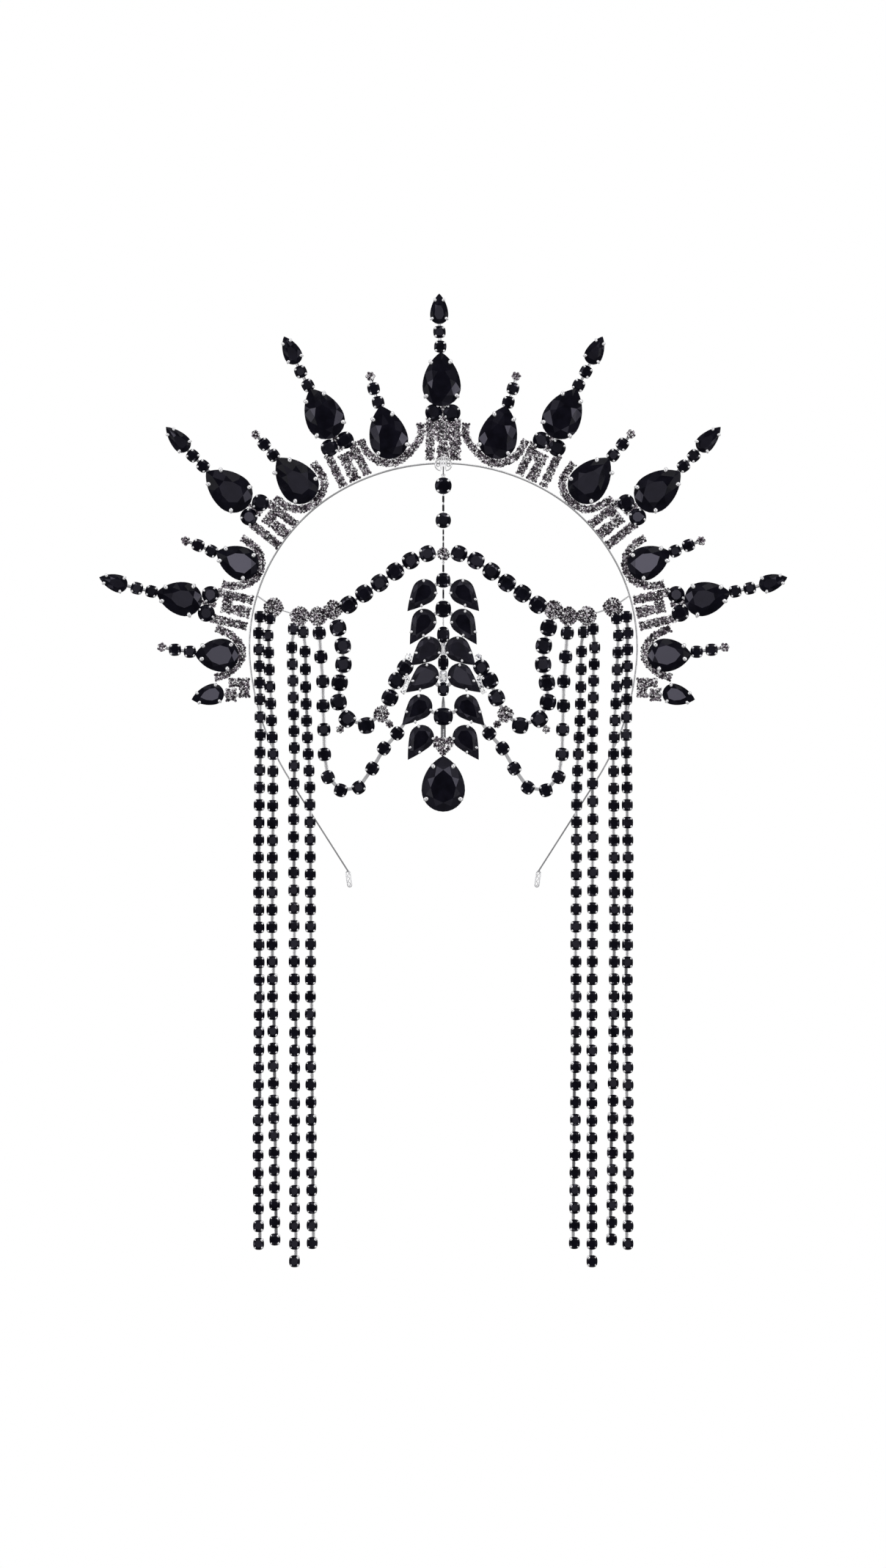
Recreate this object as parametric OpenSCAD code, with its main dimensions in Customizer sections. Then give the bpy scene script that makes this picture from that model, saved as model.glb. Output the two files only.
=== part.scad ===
// Halo crown: a sprung headband with fifteen jewelled rays above it and a veil of
// cup-set stones below it. Millimetres. The origin is the inside of the band at
// the top of the head, +Z is up, +X is to the viewer's right and -Y is the front.

/* [Headband] */
// Width of the steel strip, front to back
band_w = 5; // [4.4:0.2:5.6]
// Thickness of the steel strip
band_t = 0.8; // [0.6:0.1:0.9]
// Radius of the arch over the crown of the head
top_r = 76; // [75:0.5:77]
// Radius of the two shoulders of the arch
shoulder_r = 66; // [65:0.5:67]
// Radius of the sides, where the band turns in to grip
side_r = 96; // [92:1:100]
// Length of each straight leg
leg_len = 39; // [32:1:42]

/* [Large pear stones] */
// Half width of a 13 x 18 pear stone, measured over its girdle
pear_r = 6.9; // [6.6:0.1:7]
// Distance from the middle of its round end to its tip
pear_tip = 12.7; // [12.2:0.1:13]
// Half width of the smaller pears at the sides of the halo
side_pear_r = 6; // [5.7:0.1:6.2]
// Distance from round end to tip on those
side_pear_tip = 10.4; // [10:0.1:10.8]

/* [Small stones] */
// Diameter of the round stones that end each ray
ray_stone_d = 4.7; // [4.4:0.1:4.9]
// Diameter of the round stones under the long rays and along the forehead
chain_stone_d = 6.3; // [6:0.1:6.4]
// Diameter of the stones of the outer swags
swag_stone_d = 5.1; // [4.8:0.1:5.2]
// Diameter of the stones of the hanging strands
strand_stone_d = 4; // [3.8:0.1:4.1]
// Half width of a leaf stone of the centre ornament
leaf_r = 4.4; // [4.2:0.1:4.5]

/* [Crystal chain] */
// Width of the fine crystal chain that makes the combs and cradles
crystal_w = 3.2; // [2.8:0.1:3.2]
// Depth of the crystal chain, front to back
crystal_depth = 2.6; // [2.2:0.1:2.8]
// Diameter of a crystal cluster that joins chains
cluster_d = 6; // [5.6:0.1:6]

/* [Drape] */
// Distance from the band's front edge to the back of the drape
drape_gap = 0.4; // [0.3:0.1:0.6]
// Half width of the large pear drop
drop_r = 7.8; // [7.5:0.1:7.9]
// Distance from the middle of its round end to its tip
drop_tip = 12.4; // [12:0.1:12.6]

/* [Hidden] */

// Colours of the real materials
steel = "silver";
jet = [0.06, 0.06, 0.08];

// Seen from the front, x runs right, y up and z towards the viewer
band_front = 1.5;
band_middle = band_front - band_w / 2;
ray_back = -1.4;
drape_back = band_front + drape_gap;

// How far the halo's centre lies below the top of the band
halo_drop = 71.5;
// Clearance between a ray and the band that it stands on
seat_gap = 0.05;
// Clearance between pieces that meet in the drape
link_gap = 0.25;
// Height of the drape's wires above its back
drape_line = 0.9;
// Wire that the settings are soldered to each other with
solder_wire = 1.2;
// Depth of those wires in the rays
solder_line = ray_back + solder_wire / 2 + 0.1;

// The band is a row of arcs: radius, sweep in degrees
BAND_R = 0; BAND_SWEEP = 1;
band_arcs = [[top_r, 30], [shoulder_r, 65.5], [side_r, 27]];

// Heading of the band where arc i starts, its start point and its centre
function heading(i) = i == 0 ? 0 : heading(i - 1) + band_arcs[i - 1][BAND_SWEEP];
function joint_point(i) = i == 0 ? [0, 0]
  : arc_centre(i - 1) + band_arcs[i - 1][BAND_R] * [sin(heading(i)), cos(heading(i))];
function arc_centre(i) =
  joint_point(i) - band_arcs[i][BAND_R] * [sin(heading(i)), cos(heading(i))];

// Which arc of the band a ray stands on, from the ray's angle
function arc_under(angle) = angle < heading(1) ? 0 : angle < heading(2) ? 1 : 2;

// Outline of a pear stone, its round end at the origin and its tip on +y. The
// sides are arcs that leave the round end at $swing degrees above its widest
// place: full sides on the large stones, straighter ones on the leaf stones.
$swing = 3;
LEAF_SWING = 22;
function side_shift(r, tip) = (tip * tip - r * r) / (2 * (r - tip * sin($swing)));
function side_centre(r, tip) =
  -side_shift(r, tip) * [cos($swing), sin($swing)];
function side_end(r, tip, grow) =
  acos(-side_centre(r, tip).x / (r + side_shift(r, tip) + grow));
function side_point(r, tip, grow, a) =
  side_centre(r, tip) + (r + side_shift(r, tip) + grow) * [cos(a), sin(a)];
function flip(p) = [-p.x, p.y];
function backwards(points) = [for (i = [len(points) - 1:-1:0]) points[i]];

ROUND_STEPS = 14;
SIDE_STEPS = 5;
function pear(r, tip, grow = 0) = concat(
  [for (i = [0:ROUND_STEPS])
    let (a = 180 - $swing + i * (180 + 2 * $swing) / ROUND_STEPS)
    (r + grow) * [cos(a), sin(a)]],
  [for (i = [1:SIDE_STEPS])
    let (a = $swing + i * (side_end(r, tip, grow) - $swing) / SIDE_STEPS)
    side_point(r, tip, grow, a)],
  [for (i = [SIDE_STEPS - 1:-1:1])
    let (a = $swing + i * (side_end(r, tip, grow) - $swing) / SIDE_STEPS)
    flip(side_point(r, tip, grow, a))]
);

// Where the four prongs of a pear setting stand: an angle on the round end, and a
// share of the way up each side
PRONG_LOW = -35;
$high = 0.64;
LEAF_HIGH = 0.42;
function high_angle(r, tip) =
  $swing + $high * (side_end(r, tip, 0) - $swing);
function prong_points(r, tip, grow) = [
  (r + grow) * [cos(PRONG_LOW), sin(PRONG_LOW)],
  flip((r + grow) * [cos(PRONG_LOW), sin(PRONG_LOW)]),
  side_point(r, tip, grow, high_angle(r, tip)),
  flip(side_point(r, tip, grow, high_angle(r, tip)))
];

// Stands a flat front view upright: y becomes up and z comes to the front
module face_on() rotate([90, 0, 0]) children();

module left_side() mirror([1, 0, 0]) children();

// A wire or bar from p to q at depth z
module wire(p, q, d, z) {
  run = q - p;
  translate([p.x, p.y, z]) rotate([0, 0, atan2(run.y, run.x)]) rotate([0, 90, 0])
    cylinder(d = d, h = norm(run), $fn = 24);
}

// A round stone in its cup with four prongs, its back at depth z
CUP_SHARE = 0.42;
CROWN_SHARE = 0.2;
module round_set(d, z, turn = 45, prongs = true) {
  translate([0, 0, z]) {
    cylinder(d = d, h = d * CUP_SHARE, $fn = 32);
    translate([0, 0, d * CUP_SHARE])
      cylinder(d1 = d * 0.96, d2 = d * 0.58, h = d * CROWN_SHARE, $fn = 32);
    if (prongs)
      for (a = [0:90:270]) rotate([0, 0, a + turn]) translate([d * 0.43, 0, 0])
        cylinder(d = d * 0.16, h = d * (CUP_SHARE + CROWN_SHARE * 0.8), $fn = 16);
  }
}

// A cluster of small crystals: a low round cup with a domed top
module cluster(d, z) {
  translate([0, 0, z]) {
    cylinder(d = d, h = crystal_depth * 0.7, $fn = 32);
    translate([0, 0, crystal_depth * 0.7])
      cylinder(d1 = d, d2 = d * 0.7, h = crystal_depth * 0.3, $fn = 32);
  }
}

// A length of crystal chain from p to q
module crystal_bar(p, q, z) {
  run = q - p;
  translate([p.x, p.y, z]) rotate([0, 0, atan2(run.y, run.x)])
    translate([0, -crystal_w / 2, 0]) cube([norm(run), crystal_w, crystal_depth]);
  for (end = [p, q]) translate([end.x, end.y, z])
    cylinder(d = crystal_w, h = crystal_depth, $fn = 24);
}

// Heights inside a pear setting, as shares of the stone's half width
RIM_SHARE = 0.36;
GIRDLE_SHARE = 0.08;
CROWN_PEAR_SHARE = 0.26;
FLOOR_T = 0.8;
RIM_OUT = -0.3;
RIM_IN = -1.1;
STONE_CLEAR = 0.1;
FLOOR_OUT = 0.3;
LEAF_FLOOR_OUT = 0.15;
PRONG_OUT = 0.62;
LEAF_PRONG_OUT = 0.56;
PRONG_D = 0.95;
PRONG_TIP_D = 1.25;

// The cup of a pear stone: floor, wall under the girdle and the prongs numbered in
// which, of the four
ALL_PRONGS = [0, 1, 2, 3];
LEAF_PRONGS = [0, 3];
module pear_cup(r, tip, z, floor_out = FLOOR_OUT, out = PRONG_OUT, which = ALL_PRONGS) {
  rim = FLOOR_T + r * RIM_SHARE;
  girdle_top = rim + STONE_CLEAR + r * GIRDLE_SHARE;
  translate([0, 0, z]) {
    linear_extrude(FLOOR_T) polygon(pear(r, tip, floor_out));
    linear_extrude(rim) difference() {
      polygon(pear(r, tip, RIM_OUT));
      polygon(pear(r, tip, RIM_IN));
    }
    for (i = which) {
      foot = prong_points(r, tip, out)[i];
      head = prong_points(r, tip, out - 0.3)[i];
      translate([foot.x, foot.y, 0]) cylinder(d = PRONG_D, h = girdle_top + 0.7, $fn = 16);
      translate([head.x, head.y, girdle_top + 0.8]) sphere(d = PRONG_TIP_D, $fn = 20);
    }
  }
}

// The pear stone itself: pavilion in the cup, girdle above its rim, crown and table
TABLE_SHARE = 0.62;
module pear_stone(r, tip, z) {
  rim = FLOOR_T + r * RIM_SHARE;
  girdle = rim + STONE_CLEAR;
  crown = girdle + r * GIRDLE_SHARE;
  pavilion_depth = rim - FLOOR_T - 0.6;
  translate([0, 0, z]) {
    translate([0, 0, girdle]) linear_extrude(r * GIRDLE_SHARE) polygon(pear(r, tip));
    translate([0, 0, crown]) linear_extrude(r * CROWN_PEAR_SHARE, scale = TABLE_SHARE)
      polygon(pear(r, tip));
    translate([0, 0, girdle]) mirror([0, 0, 1])
      linear_extrude(pavilion_depth, scale = 0.5) polygon(pear(r, tip, RIM_IN - 0.3));
  }
}

// Headband

// Right half of the strip's edge, out from its inner face by the given distance
BAND_STEP = 3;
last_arc = len(band_arcs) - 1;
leg_heading = heading(last_arc) + band_arcs[last_arc][BAND_SWEEP];
leg_way = [cos(leg_heading), -sin(leg_heading)];
function band_point(i, turn, out) =
  arc_centre(i) + (band_arcs[i][BAND_R] + out) * [sin(turn), cos(turn)];
function leg_point(along, out) = band_point(last_arc, leg_heading, out) + along * leg_way;
function band_edge(out) = concat(
  [for (i = [0:last_arc]) let (steps = round(band_arcs[i][BAND_SWEEP] / BAND_STEP))
    for (k = [0:steps - 1])
      band_point(i, heading(i) + k * band_arcs[i][BAND_SWEEP] / steps, out)],
  [leg_point(0, out), leg_point(leg_len, out)]
);
function mirrored_edge(out) =
  [for (i = [len(band_edge(out)) - 1:-1:1]) flip(band_edge(out)[i])];

// Oval wire loop at the end of a leg, hanging along -y
LOOP_WIRE = 0.7;
LOOP_W = 2;
LOOP_L = 6.4;
module end_loop(z) {
  bend = (LOOP_W - LOOP_WIRE) / 2;
  straight = LOOP_L - LOOP_W;
  translate([0, -LOOP_W / 2, z]) {
    for (side = [-1, 1]) translate([side * bend, 0, 0]) rotate([90, 0, 0])
      cylinder(d = LOOP_WIRE, h = straight, $fn = 16);
    rotate_extrude(angle = 180, $fn = 32) translate([bend, 0]) circle(d = LOOP_WIRE, $fn = 16);
    translate([0, -straight, 0]) rotate([0, 0, 180])
      rotate_extrude(angle = 180, $fn = 32) translate([bend, 0]) circle(d = LOOP_WIRE, $fn = 16);
  }
}

module leg_loop() {
  end = leg_point(leg_len - 0.3, band_t / 2);
  translate([end.x, end.y, band_middle]) rotate([0, 0, -8]) end_loop(0);
}

module headband() color(steel) face_on() {
  translate([0, 0, band_front - band_w]) linear_extrude(band_w)
    polygon(concat(mirrored_edge(band_t), band_edge(band_t),
      backwards(concat(mirrored_edge(0), band_edge(0)))));
  leg_loop();
  left_side() leg_loop();
}

// The wire clasp at the top: a ring with two bars and the pin that the drape hangs
// on, soldered to the band's front edge
CREST_D = 6.3;
CREST_WIRE = 0.7;
CREST_MIDDLE = 0.4;
PIN_BOTTOM = -3.6;
module drape_hook() color(steel) face_on()
  translate([0, 0, band_front + seat_gap + CREST_WIRE / 2]) {
    bend = (CREST_D - CREST_WIRE) / 2;
    translate([0, CREST_MIDDLE, 0]) rotate_extrude($fn = 48)
      translate([bend, 0]) circle(d = CREST_WIRE, $fn = 16);
    for (x = [-1.4, 1.4])
      wire([x, CREST_MIDDLE - 2.2], [x, CREST_MIDDLE + 2.2], CREST_WIRE * 0.9, 0);
    wire([0, PIN_BOTTOM], [0, CREST_MIDDLE + bend], CREST_WIRE + 0.1, 0);
  }

// Rays of the halo

// Long rays: angle from upright, height of the large stone's round end above the
// halo's centre, half width and tip of the large stone, then of the tip stone
ANGLE = 0; SEAT = 1; STONE_R = 2; STONE_TIP = 3; TIP_R = 4; TIP_TIP = 5;
spires = [
  [0, 99.9, pear_r, pear_tip, 3.3, 8],
  [26.2, 97.8, pear_r, pear_tip, 3.7, 9.2],
  [51.6, 98.2, pear_r, pear_tip, 3.7, 9.2],
  [76.8, 97.3, side_pear_r, side_pear_tip, 3.3, 8.3]
];

// Short rays between them: angle, height of the round end, half width and tip
spikes = [
  [14.2, 82.6, pear_r, pear_tip],
  [39.8, 82.9, pear_r, pear_tip],
  [65, 81.7, side_pear_r, side_pear_tip],
  [88.6, 81.2, side_pear_r, side_pear_tip - 0.9]
];

// The uppermost ray leans a little to the left
TOP_LEAN = 1.5;

// Puts a ray on the halo: its own y axis points away from the halo's centre
module on_halo(angle) translate([0, -halo_drop, 0]) rotate([0, 0, -angle]) children();

module lean(angle) translate([0, halo_drop, 0]) rotate([0, 0, angle])
  translate([0, -halo_drop, 0]) children();

// Trims a ray to the curve of the band under it, leaving the seat gap
module seated(angle) {
  c = arc_centre(arc_under(angle));
  r = band_arcs[arc_under(angle)][BAND_R] + band_t + seat_gap;
  difference() {
    children();
    translate([c.x, c.y, ray_back - 1]) cylinder(r = r, h = crystal_depth + 2, $fn = 360);
  }
}

// Two small round stones above a large one, in line, and what the ray ends in
STONE_PITCH = 5.4;
FIRST_STONE = 2.1;
ROW_TOP = FIRST_STONE + STONE_PITCH + ray_stone_d / 2;
module ray_end(top) {
  for (i = [0, 1]) translate([0, top + FIRST_STONE + i * STONE_PITCH, 0])
    round_set(ray_stone_d, ray_back);
}

// Comb of three crystal bars with a filled head, and the two round stones on it
COMB_STEP = 4.7;
COMB_INNER = 71.8;
COMB_HEAD = 80.4;
BASE_BELOW = 2.9;
COMB_BELOW = 2.2;
TIP_GAP = 0.4;
module comb(top) {
  translate([-COMB_STEP, COMB_HEAD, ray_back])
    cube([2 * COMB_STEP, top - 1 - COMB_HEAD, crystal_depth - 0.1]);
  for (i = [-1:1]) crystal_bar([i * COMB_STEP, COMB_INNER],
    [i * COMB_STEP, i == 0 ? top - 1 : top], ray_back);
  wire([-COMB_STEP, top - 0.6], [COMB_STEP, top - 0.6], solder_wire * 1.5, ray_back + 1);
}

module spire(row) {
  r = row[STONE_R];
  stone_end = row[SEAT] - r;
  stone_top = row[SEAT] + row[STONE_TIP];
  tip_seat = stone_top + ROW_TOP + row[TIP_R] + TIP_GAP;
  base_y = stone_end - BASE_BELOW;
  color(steel) seated(row[ANGLE]) on_halo(row[ANGLE]) lean(row[ANGLE] == 0 ? TOP_LEAN : 0) {
    comb(base_y - COMB_BELOW);
    for (side = [-1, 1]) translate([side * (chain_stone_d / 2 + 0.15), base_y, 0])
      round_set(chain_stone_d, ray_back);
    translate([0, row[SEAT], 0]) pear_cup(r, row[STONE_TIP], ray_back);
    ray_end(stone_top);
    translate([0, tip_seat, 0]) {
      pear_cup(row[TIP_R], row[TIP_TIP], ray_back);
      pear_stone(row[TIP_R], row[TIP_TIP], ray_back - STONE_CLEAR);
    }
    wire([0, base_y - 4], [0, tip_seat], solder_wire, solder_line);
    wire([-3, base_y], [3, base_y], solder_wire, solder_line);
  }
}

module spire_stone(row) color(jet)
  on_halo(row[ANGLE]) lean(row[ANGLE] == 0 ? TOP_LEAN : 0)
    translate([0, row[SEAT], 0]) pear_stone(row[STONE_R], row[STONE_TIP], ray_back);

// Short ray: a garland of crystal chain cradles the large stone's round end and
// reaches up on both sides to the combs next to it
cradles = [
  [[-13.1, 85.8], [-12.4, 82], [-10.3, 79.2], [-7.3, 77], [-3.8, 75], [0, 74.1],
    [3.8, 75.2], [6.9, 77.5], [8.7, 80.6], [9.8, 85.2]],
  [[-9.3, 85.8], [-9.1, 81], [-8.2, 77.9], [-5.6, 75.7], [-2, 74.4], [2, 74.4],
    [5.3, 75.8], [7.7, 78.4], [9, 81.4], [9.7, 84.9]],
  [[-8.9, 85.8], [-8.4, 82], [-7.5, 78.9], [-5.2, 76.4], [-2, 74.7], [2, 74.7],
    [5, 76.4], [7.2, 79], [8.8, 82], [9.4, 85]],
  [[-9.1, 83.7], [-8, 81], [-6.8, 78.4], [-4.6, 75.8], [-1.8, 74.1], [1.8, 74.1],
    [4.6, 75.9], [7, 78.6], [8.4, 81], [9.1, 83.6]]
];
CRADLE_W = 2.8;
CRADLE_BOTTOM = 74.6;
// Crystal ball that ends a short ray
BALL_D = 3.8;
module cradle(points) {
  for (p = points) translate([p.x, p.y, ray_back])
    cylinder(d = CRADLE_W, h = crystal_depth, $fn = 24);
  for (i = [1:len(points) - 1]) {
    run = points[i] - points[i - 1];
    translate([points[i - 1].x, points[i - 1].y, ray_back])
      rotate([0, 0, atan2(run.y, run.x)]) translate([0, -CRADLE_W / 2 + 0.2, 0])
        cube([norm(run), CRADLE_W - 0.4, crystal_depth - 0.2]);
  }
}

module spike(row, path) {
  stone_top = row[SEAT] + row[STONE_TIP];
  tip_y = stone_top + ROW_TOP + BALL_D / 2 + 0.1;
  color(steel) seated(row[ANGLE]) on_halo(row[ANGLE]) {
    cradle(path);
    translate([0, row[SEAT], 0]) pear_cup(row[STONE_R], row[STONE_TIP], ray_back);
    ray_end(stone_top);
    translate([0, tip_y, 0]) cluster(BALL_D, ray_back);
    wire([0, CRADLE_BOTTOM], [0, tip_y], solder_wire, solder_line);
  }
}

module spike_stone(row) color(jet) on_halo(row[ANGLE])
  translate([0, row[SEAT], 0]) pear_stone(row[STONE_R], row[STONE_TIP], ray_back);

// The last small pear on each side, below the halo's ends: middle of its round
// end, direction of its tip, half width and tip
end_leaf_at = [84.6, -84.6];
END_LEAF_TURN = 104;
END_LEAF_R = 3.8;
END_LEAF_TIP = 8.2;
// Its crystal cluster reaches back to the band in two short rows
end_leaf_rows = [[[72.5, -80.5], [77.6, -80.5]], [[72.2, -84.9], [78.2, -84.9]]];

module end_leaf_place() translate([end_leaf_at.x, end_leaf_at.y, 0])
  rotate([0, 0, -END_LEAF_TURN]) children();

module end_leaf() color(steel) seated(96) {
  for (row = end_leaf_rows) crystal_bar(row[0], row[1], ray_back);
  wire([75, -84.5], [75, -80.5], solder_wire, solder_line);
  wire([75, -85], end_leaf_at, solder_wire, solder_line);
  end_leaf_place() pear_cup(END_LEAF_R, END_LEAF_TIP, ray_back);
}

module end_leaf_stone() color(jet) end_leaf_place()
  pear_stone(END_LEAF_R, END_LEAF_TIP, ray_back);

// Drape

// A row of round stones joined by wire: x, y, diameter
STONE_D = 2;
module stone_row(stones, z, link_d, prongs = true) {
  for (i = [0:len(stones) - 1]) {
    s = stones[i];
    ahead = stones[min(i + 1, len(stones) - 1)];
    behind = stones[max(i - 1, 0)];
    way = ahead - behind;
    translate([s.x, s.y, 0])
      if (s[STONE_D] < 0) cluster(-s[STONE_D], z);
      else round_set(s[STONE_D], z, 45 + atan2(way.y, way.x), prongs);
    if (i > 0) wire([behind.x, behind.y], [s.x, s.y], link_d, z + drape_line);
  }
}

LINK_D = 1.3;
APEX = [0, -33.2];
APEX_D = 4.6;
// The two stones over the forehead, and the crystal cluster where the chains meet
tikka_stones = [
  [0, -8.05, 6.4],
  [0, -20.8, 5.9],
  [APEX.x, APEX.y, -APEX_D]
];
module tikka_chain() color(steel) face_on() {
  stone_row(tikka_stones, drape_back, 1);
  wire([0, -8], [0, PIN_BOTTOM - link_gap], 1, drape_back + drape_line);
}

// Forehead chain: six stones up to the apex, then clusters out to the band
// (a negative diameter is a cluster)
forehead_stones = [
  [5.75, -33, chain_stone_d - 0.3],
  [12, -35.6, chain_stone_d - 0.1],
  [17.9, -39.6, chain_stone_d],
  [23.4, -43.8, chain_stone_d],
  [29, -47.8, chain_stone_d],
  [34.8, -51.6, chain_stone_d],
  [40.6, -53.7, -cluster_d],
  [46.1, -56.1, -cluster_d],
  [52.8, -55.9, -cluster_d],
  [62.4, -52.7, -cluster_d]
];
// Where its last wire link meets the band, as a direction on the shoulder arc
LINK_TURN = 73.4;
LINK_WIRE = 0.8;
module forehead_chain() color(steel) face_on() {
  last = forehead_stones[len(forehead_stones) - 1];
  on_band = band_point(1, LINK_TURN, band_t / 2);
  stone_row(forehead_stones, drape_back, 1.1);
  wire([last.x, last.y], on_band, LINK_WIRE, drape_back + 0.5);
  translate([on_band.x, on_band.y, band_front + seat_gap])
    cylinder(d = LINK_WIRE, h = drape_gap + drape_line, $fn = 24);
}

// Spine of the centre ornament
spine_stones = [
  [0, -42.7, 5.8],
  [0, -53.2, 5.8],
  [0, -62.9, 5.2],
  [0, -73.2, 4.3],
  [0, -83, 4.2],
  [0, -92.9, 6.6]
];
// The two clear bars between them: y of the middle, width and height
clear_bars = [[-68.1, 1.6, 3.8], [-78.1, 2, 3.4]];
// Leaf stones: x and y of the round end's middle, direction of the tip in degrees
// to the side from straight down, distance to the tip, and y on the spine where
// the cup is soldered
LEAF_TURN = 2; LEAF_TIP = 3; LEAF_ROOT = 4;
leaves = [
  [6.5, -46.9, 41, 9.4, -42.7],
  [6.9, -57.8, 31.4, 9.6, -53.2],
  [5.2, -68, 47.5, 8.9, -62.9],
  [6.1, -77.8, 51, 9.9, -83],
  [8.5, -89.3, 43.7, 9.3, -92.9],
  [7.8, -100.5, 31.6, 9.2, -103.6]
];

module leaf_place(row) translate([row.x, row.y, 0])
  rotate([0, 0, row[LEAF_TURN] - 180]) children();

module half_leaf_cups() for (row = leaves) {
  leaf_place(row) pear_cup(leaf_r, row[LEAF_TIP], drape_back,
    LEAF_FLOOR_OUT, LEAF_PRONG_OUT, LEAF_PRONGS, $swing = LEAF_SWING, $high = LEAF_HIGH);
  wire([row.x, row.y], [0, row[LEAF_ROOT]], LINK_D, drape_back + LINK_D / 2 + 0.1);
}

TRIANGLE_TOP = -101.2;
TRIANGLE_BOTTOM = -106.8;
TRIANGLE_DEPTH = 2.4;
module tree_frame() color(steel) face_on() {
  half_leaf_cups();
  left_side() half_leaf_cups();
  stone_row(spine_stones, drape_back, LINK_D);
  for (bar = clear_bars) translate([-bar[1] / 2, bar[0] - bar[2] / 2, drape_back])
    cube([bar[1], bar[2], 2.4]);
  wire([0, -42.7], [0, APEX.y - APEX_D / 2 - link_gap], 1.2, drape_back + drape_line);
  wire([0, -92], [0, -103], 2.2, drape_back + 1.25);
  translate([0, 0, drape_back]) linear_extrude(TRIANGLE_DEPTH)
    polygon([[-4, TRIANGLE_TOP], [4, TRIANGLE_TOP], [1.7, TRIANGLE_BOTTOM], [-1.7, TRIANGLE_BOTTOM]]);
}

module leaf_stones(i) color(jet) face_on() for (side = [0, 1]) mirror([side, 0, 0])
  leaf_place(leaves[i]) pear_stone(leaf_r, leaves[i][LEAF_TIP], drape_back, $swing = LEAF_SWING);

// The large drop hangs tip up under the ornament
DROP_SEAT = -119.9;
module drop_place() face_on() translate([0, DROP_SEAT, 0]) children();
module drop_setting() color(steel) drop_place() pear_cup(drop_r, drop_tip, drape_back);
module drop_stone() color(jet) drop_place() pear_stone(drop_r, drop_tip, drape_back);

// Inner swag: from the forehead chain down, round, and up to the third leaf
inner_swag_stones = [
  [38.6, -60.3, chain_stone_d],
  [36.9, -66.8, chain_stone_d],
  [36.6, -73.5, chain_stone_d],
  [37.9, -80.5, chain_stone_d],
  [38.2, -87.5, chain_stone_d],
  [35.2, -93.7, chain_stone_d],
  [28.3, -96.2, chain_stone_d - 0.1],
  [22.7, -92, -chain_stone_d],
  [19.5, -86, chain_stone_d - 0.2],
  [17.1, -79.7, chain_stone_d - 0.2],
  [14.8, -75.1, chain_stone_d - 0.5]
];
// Small crystals soldered beside it: x, y and the number of the stone they are on
ACCENT_ON = 2;
ACCENT_D = 2.9;
accents = [[37.9, -97.6, 5], [19.8, -95.7, 7], [14.7, -81.2, 9], [13.3, -71.2, 10]];
module inner_swag() color(steel) face_on() {
  stone_row(inner_swag_stones, drape_back, LINK_D);
  for (a = accents) {
    s = inner_swag_stones[a[ACCENT_ON]];
    translate([a.x, a.y, 0]) cluster(ACCENT_D, drape_back);
    wire([a.x, a.y], [s.x, s.y], LINK_D, drape_back + drape_line);
  }
}

// Outer swag: smaller stones on bar links, up to the tip of the fifth leaf
outer_swag_stones = [for (p = [
  [45.6, -62.2], [45, -71], [44.3, -80], [44.2, -89], [43.9, -97.7], [43.7, -106.8],
  [42.4, -115.2], [37.7, -120], [31.1, -119], [26.1, -112], [21.8, -104.6], [16.9, -99.1]
]) [p.x, p.y, swag_stone_d]];
module outer_swag() color(steel) face_on() {
  stone_row(outer_swag_stones, drape_back, LINK_D);
  wire([16.9, -99.1], [15.1, -96.6], LINK_D, drape_back + drape_line);
}

// Hanging strands: x and y of the top stone, x and y of the lowest, number of
// stones, then x and y of the cluster that it hangs from
FOOT_X = 2; FOOT_Y = 3; COUNT = 4; FROM_X = 5; FROM_Y = 6;
strands = [
  [67.4, -56.2, 67.8, -287, 37, 62.4, -52.7],
  [63.1, -58.1, 61.8, -285.4, 37, 62.4, -52.7],
  [55, -61.2, 54.9, -293.4, 37, 52.8, -55.9],
  [50.6, -61.9, 48.2, -286.5, 36, 52.8, -55.9]
];
module strand(row) color(steel) face_on() {
  top = [row.x, row.y];
  foot = [row[FOOT_X], row[FOOT_Y]];
  hang = [row[FROM_X], row[FROM_Y]];
  reach = norm(hang - top) - cluster_d / 2 - link_gap;
  for (i = [0:row[COUNT] - 1]) {
    p = top + (foot - top) * i / (row[COUNT] - 1);
    translate([p.x, p.y, 0]) round_set(strand_stone_d, drape_back, 45, false);
  }
  wire(top, foot, LINK_D, drape_back + drape_line);
  wire(top, top + (hang - top) * reach / norm(hang - top), LINK_D, drape_back + drape_line);
}

headband();
drape_hook();

face_on() spire(spires[0]);  // spire_top
face_on() spire_stone(spires[0]);  // spire_stone_top
for (i = [1:3]) {
  face_on() spire(spires[i]);
  left_side() face_on() spire(spires[i]);
  face_on() spire_stone(spires[i]);
  left_side() face_on() spire_stone(spires[i]);
}
for (i = [1:4]) {
  face_on() spike(spikes[i - 1], cradles[i - 1]);
  left_side() face_on() spike(spikes[i - 1], cradles[i - 1]);
  face_on() spike_stone(spikes[i - 1]);
  left_side() face_on() spike_stone(spikes[i - 1]);
}
face_on() end_leaf();  // end_leaf_right
left_side() face_on() end_leaf();  // end_leaf_left
face_on() end_leaf_stone();  // end_leaf_stone_right
left_side() face_on() end_leaf_stone();  // end_leaf_stone_left

tikka_chain();
forehead_chain();  // forehead_chain_right
left_side() forehead_chain();  // forehead_chain_left
tree_frame();
for (i = [1:6])
  leaf_stones(i - 1);
drop_setting();
drop_stone();
inner_swag();  // inner_swag_right
left_side() inner_swag();  // inner_swag_left
outer_swag();  // outer_swag_right
left_side() outer_swag();  // outer_swag_left
for (i = [1:4]) {
  strand(strands[i - 1]);
  left_side() strand(strands[i - 1]);
}
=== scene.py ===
import math

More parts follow.
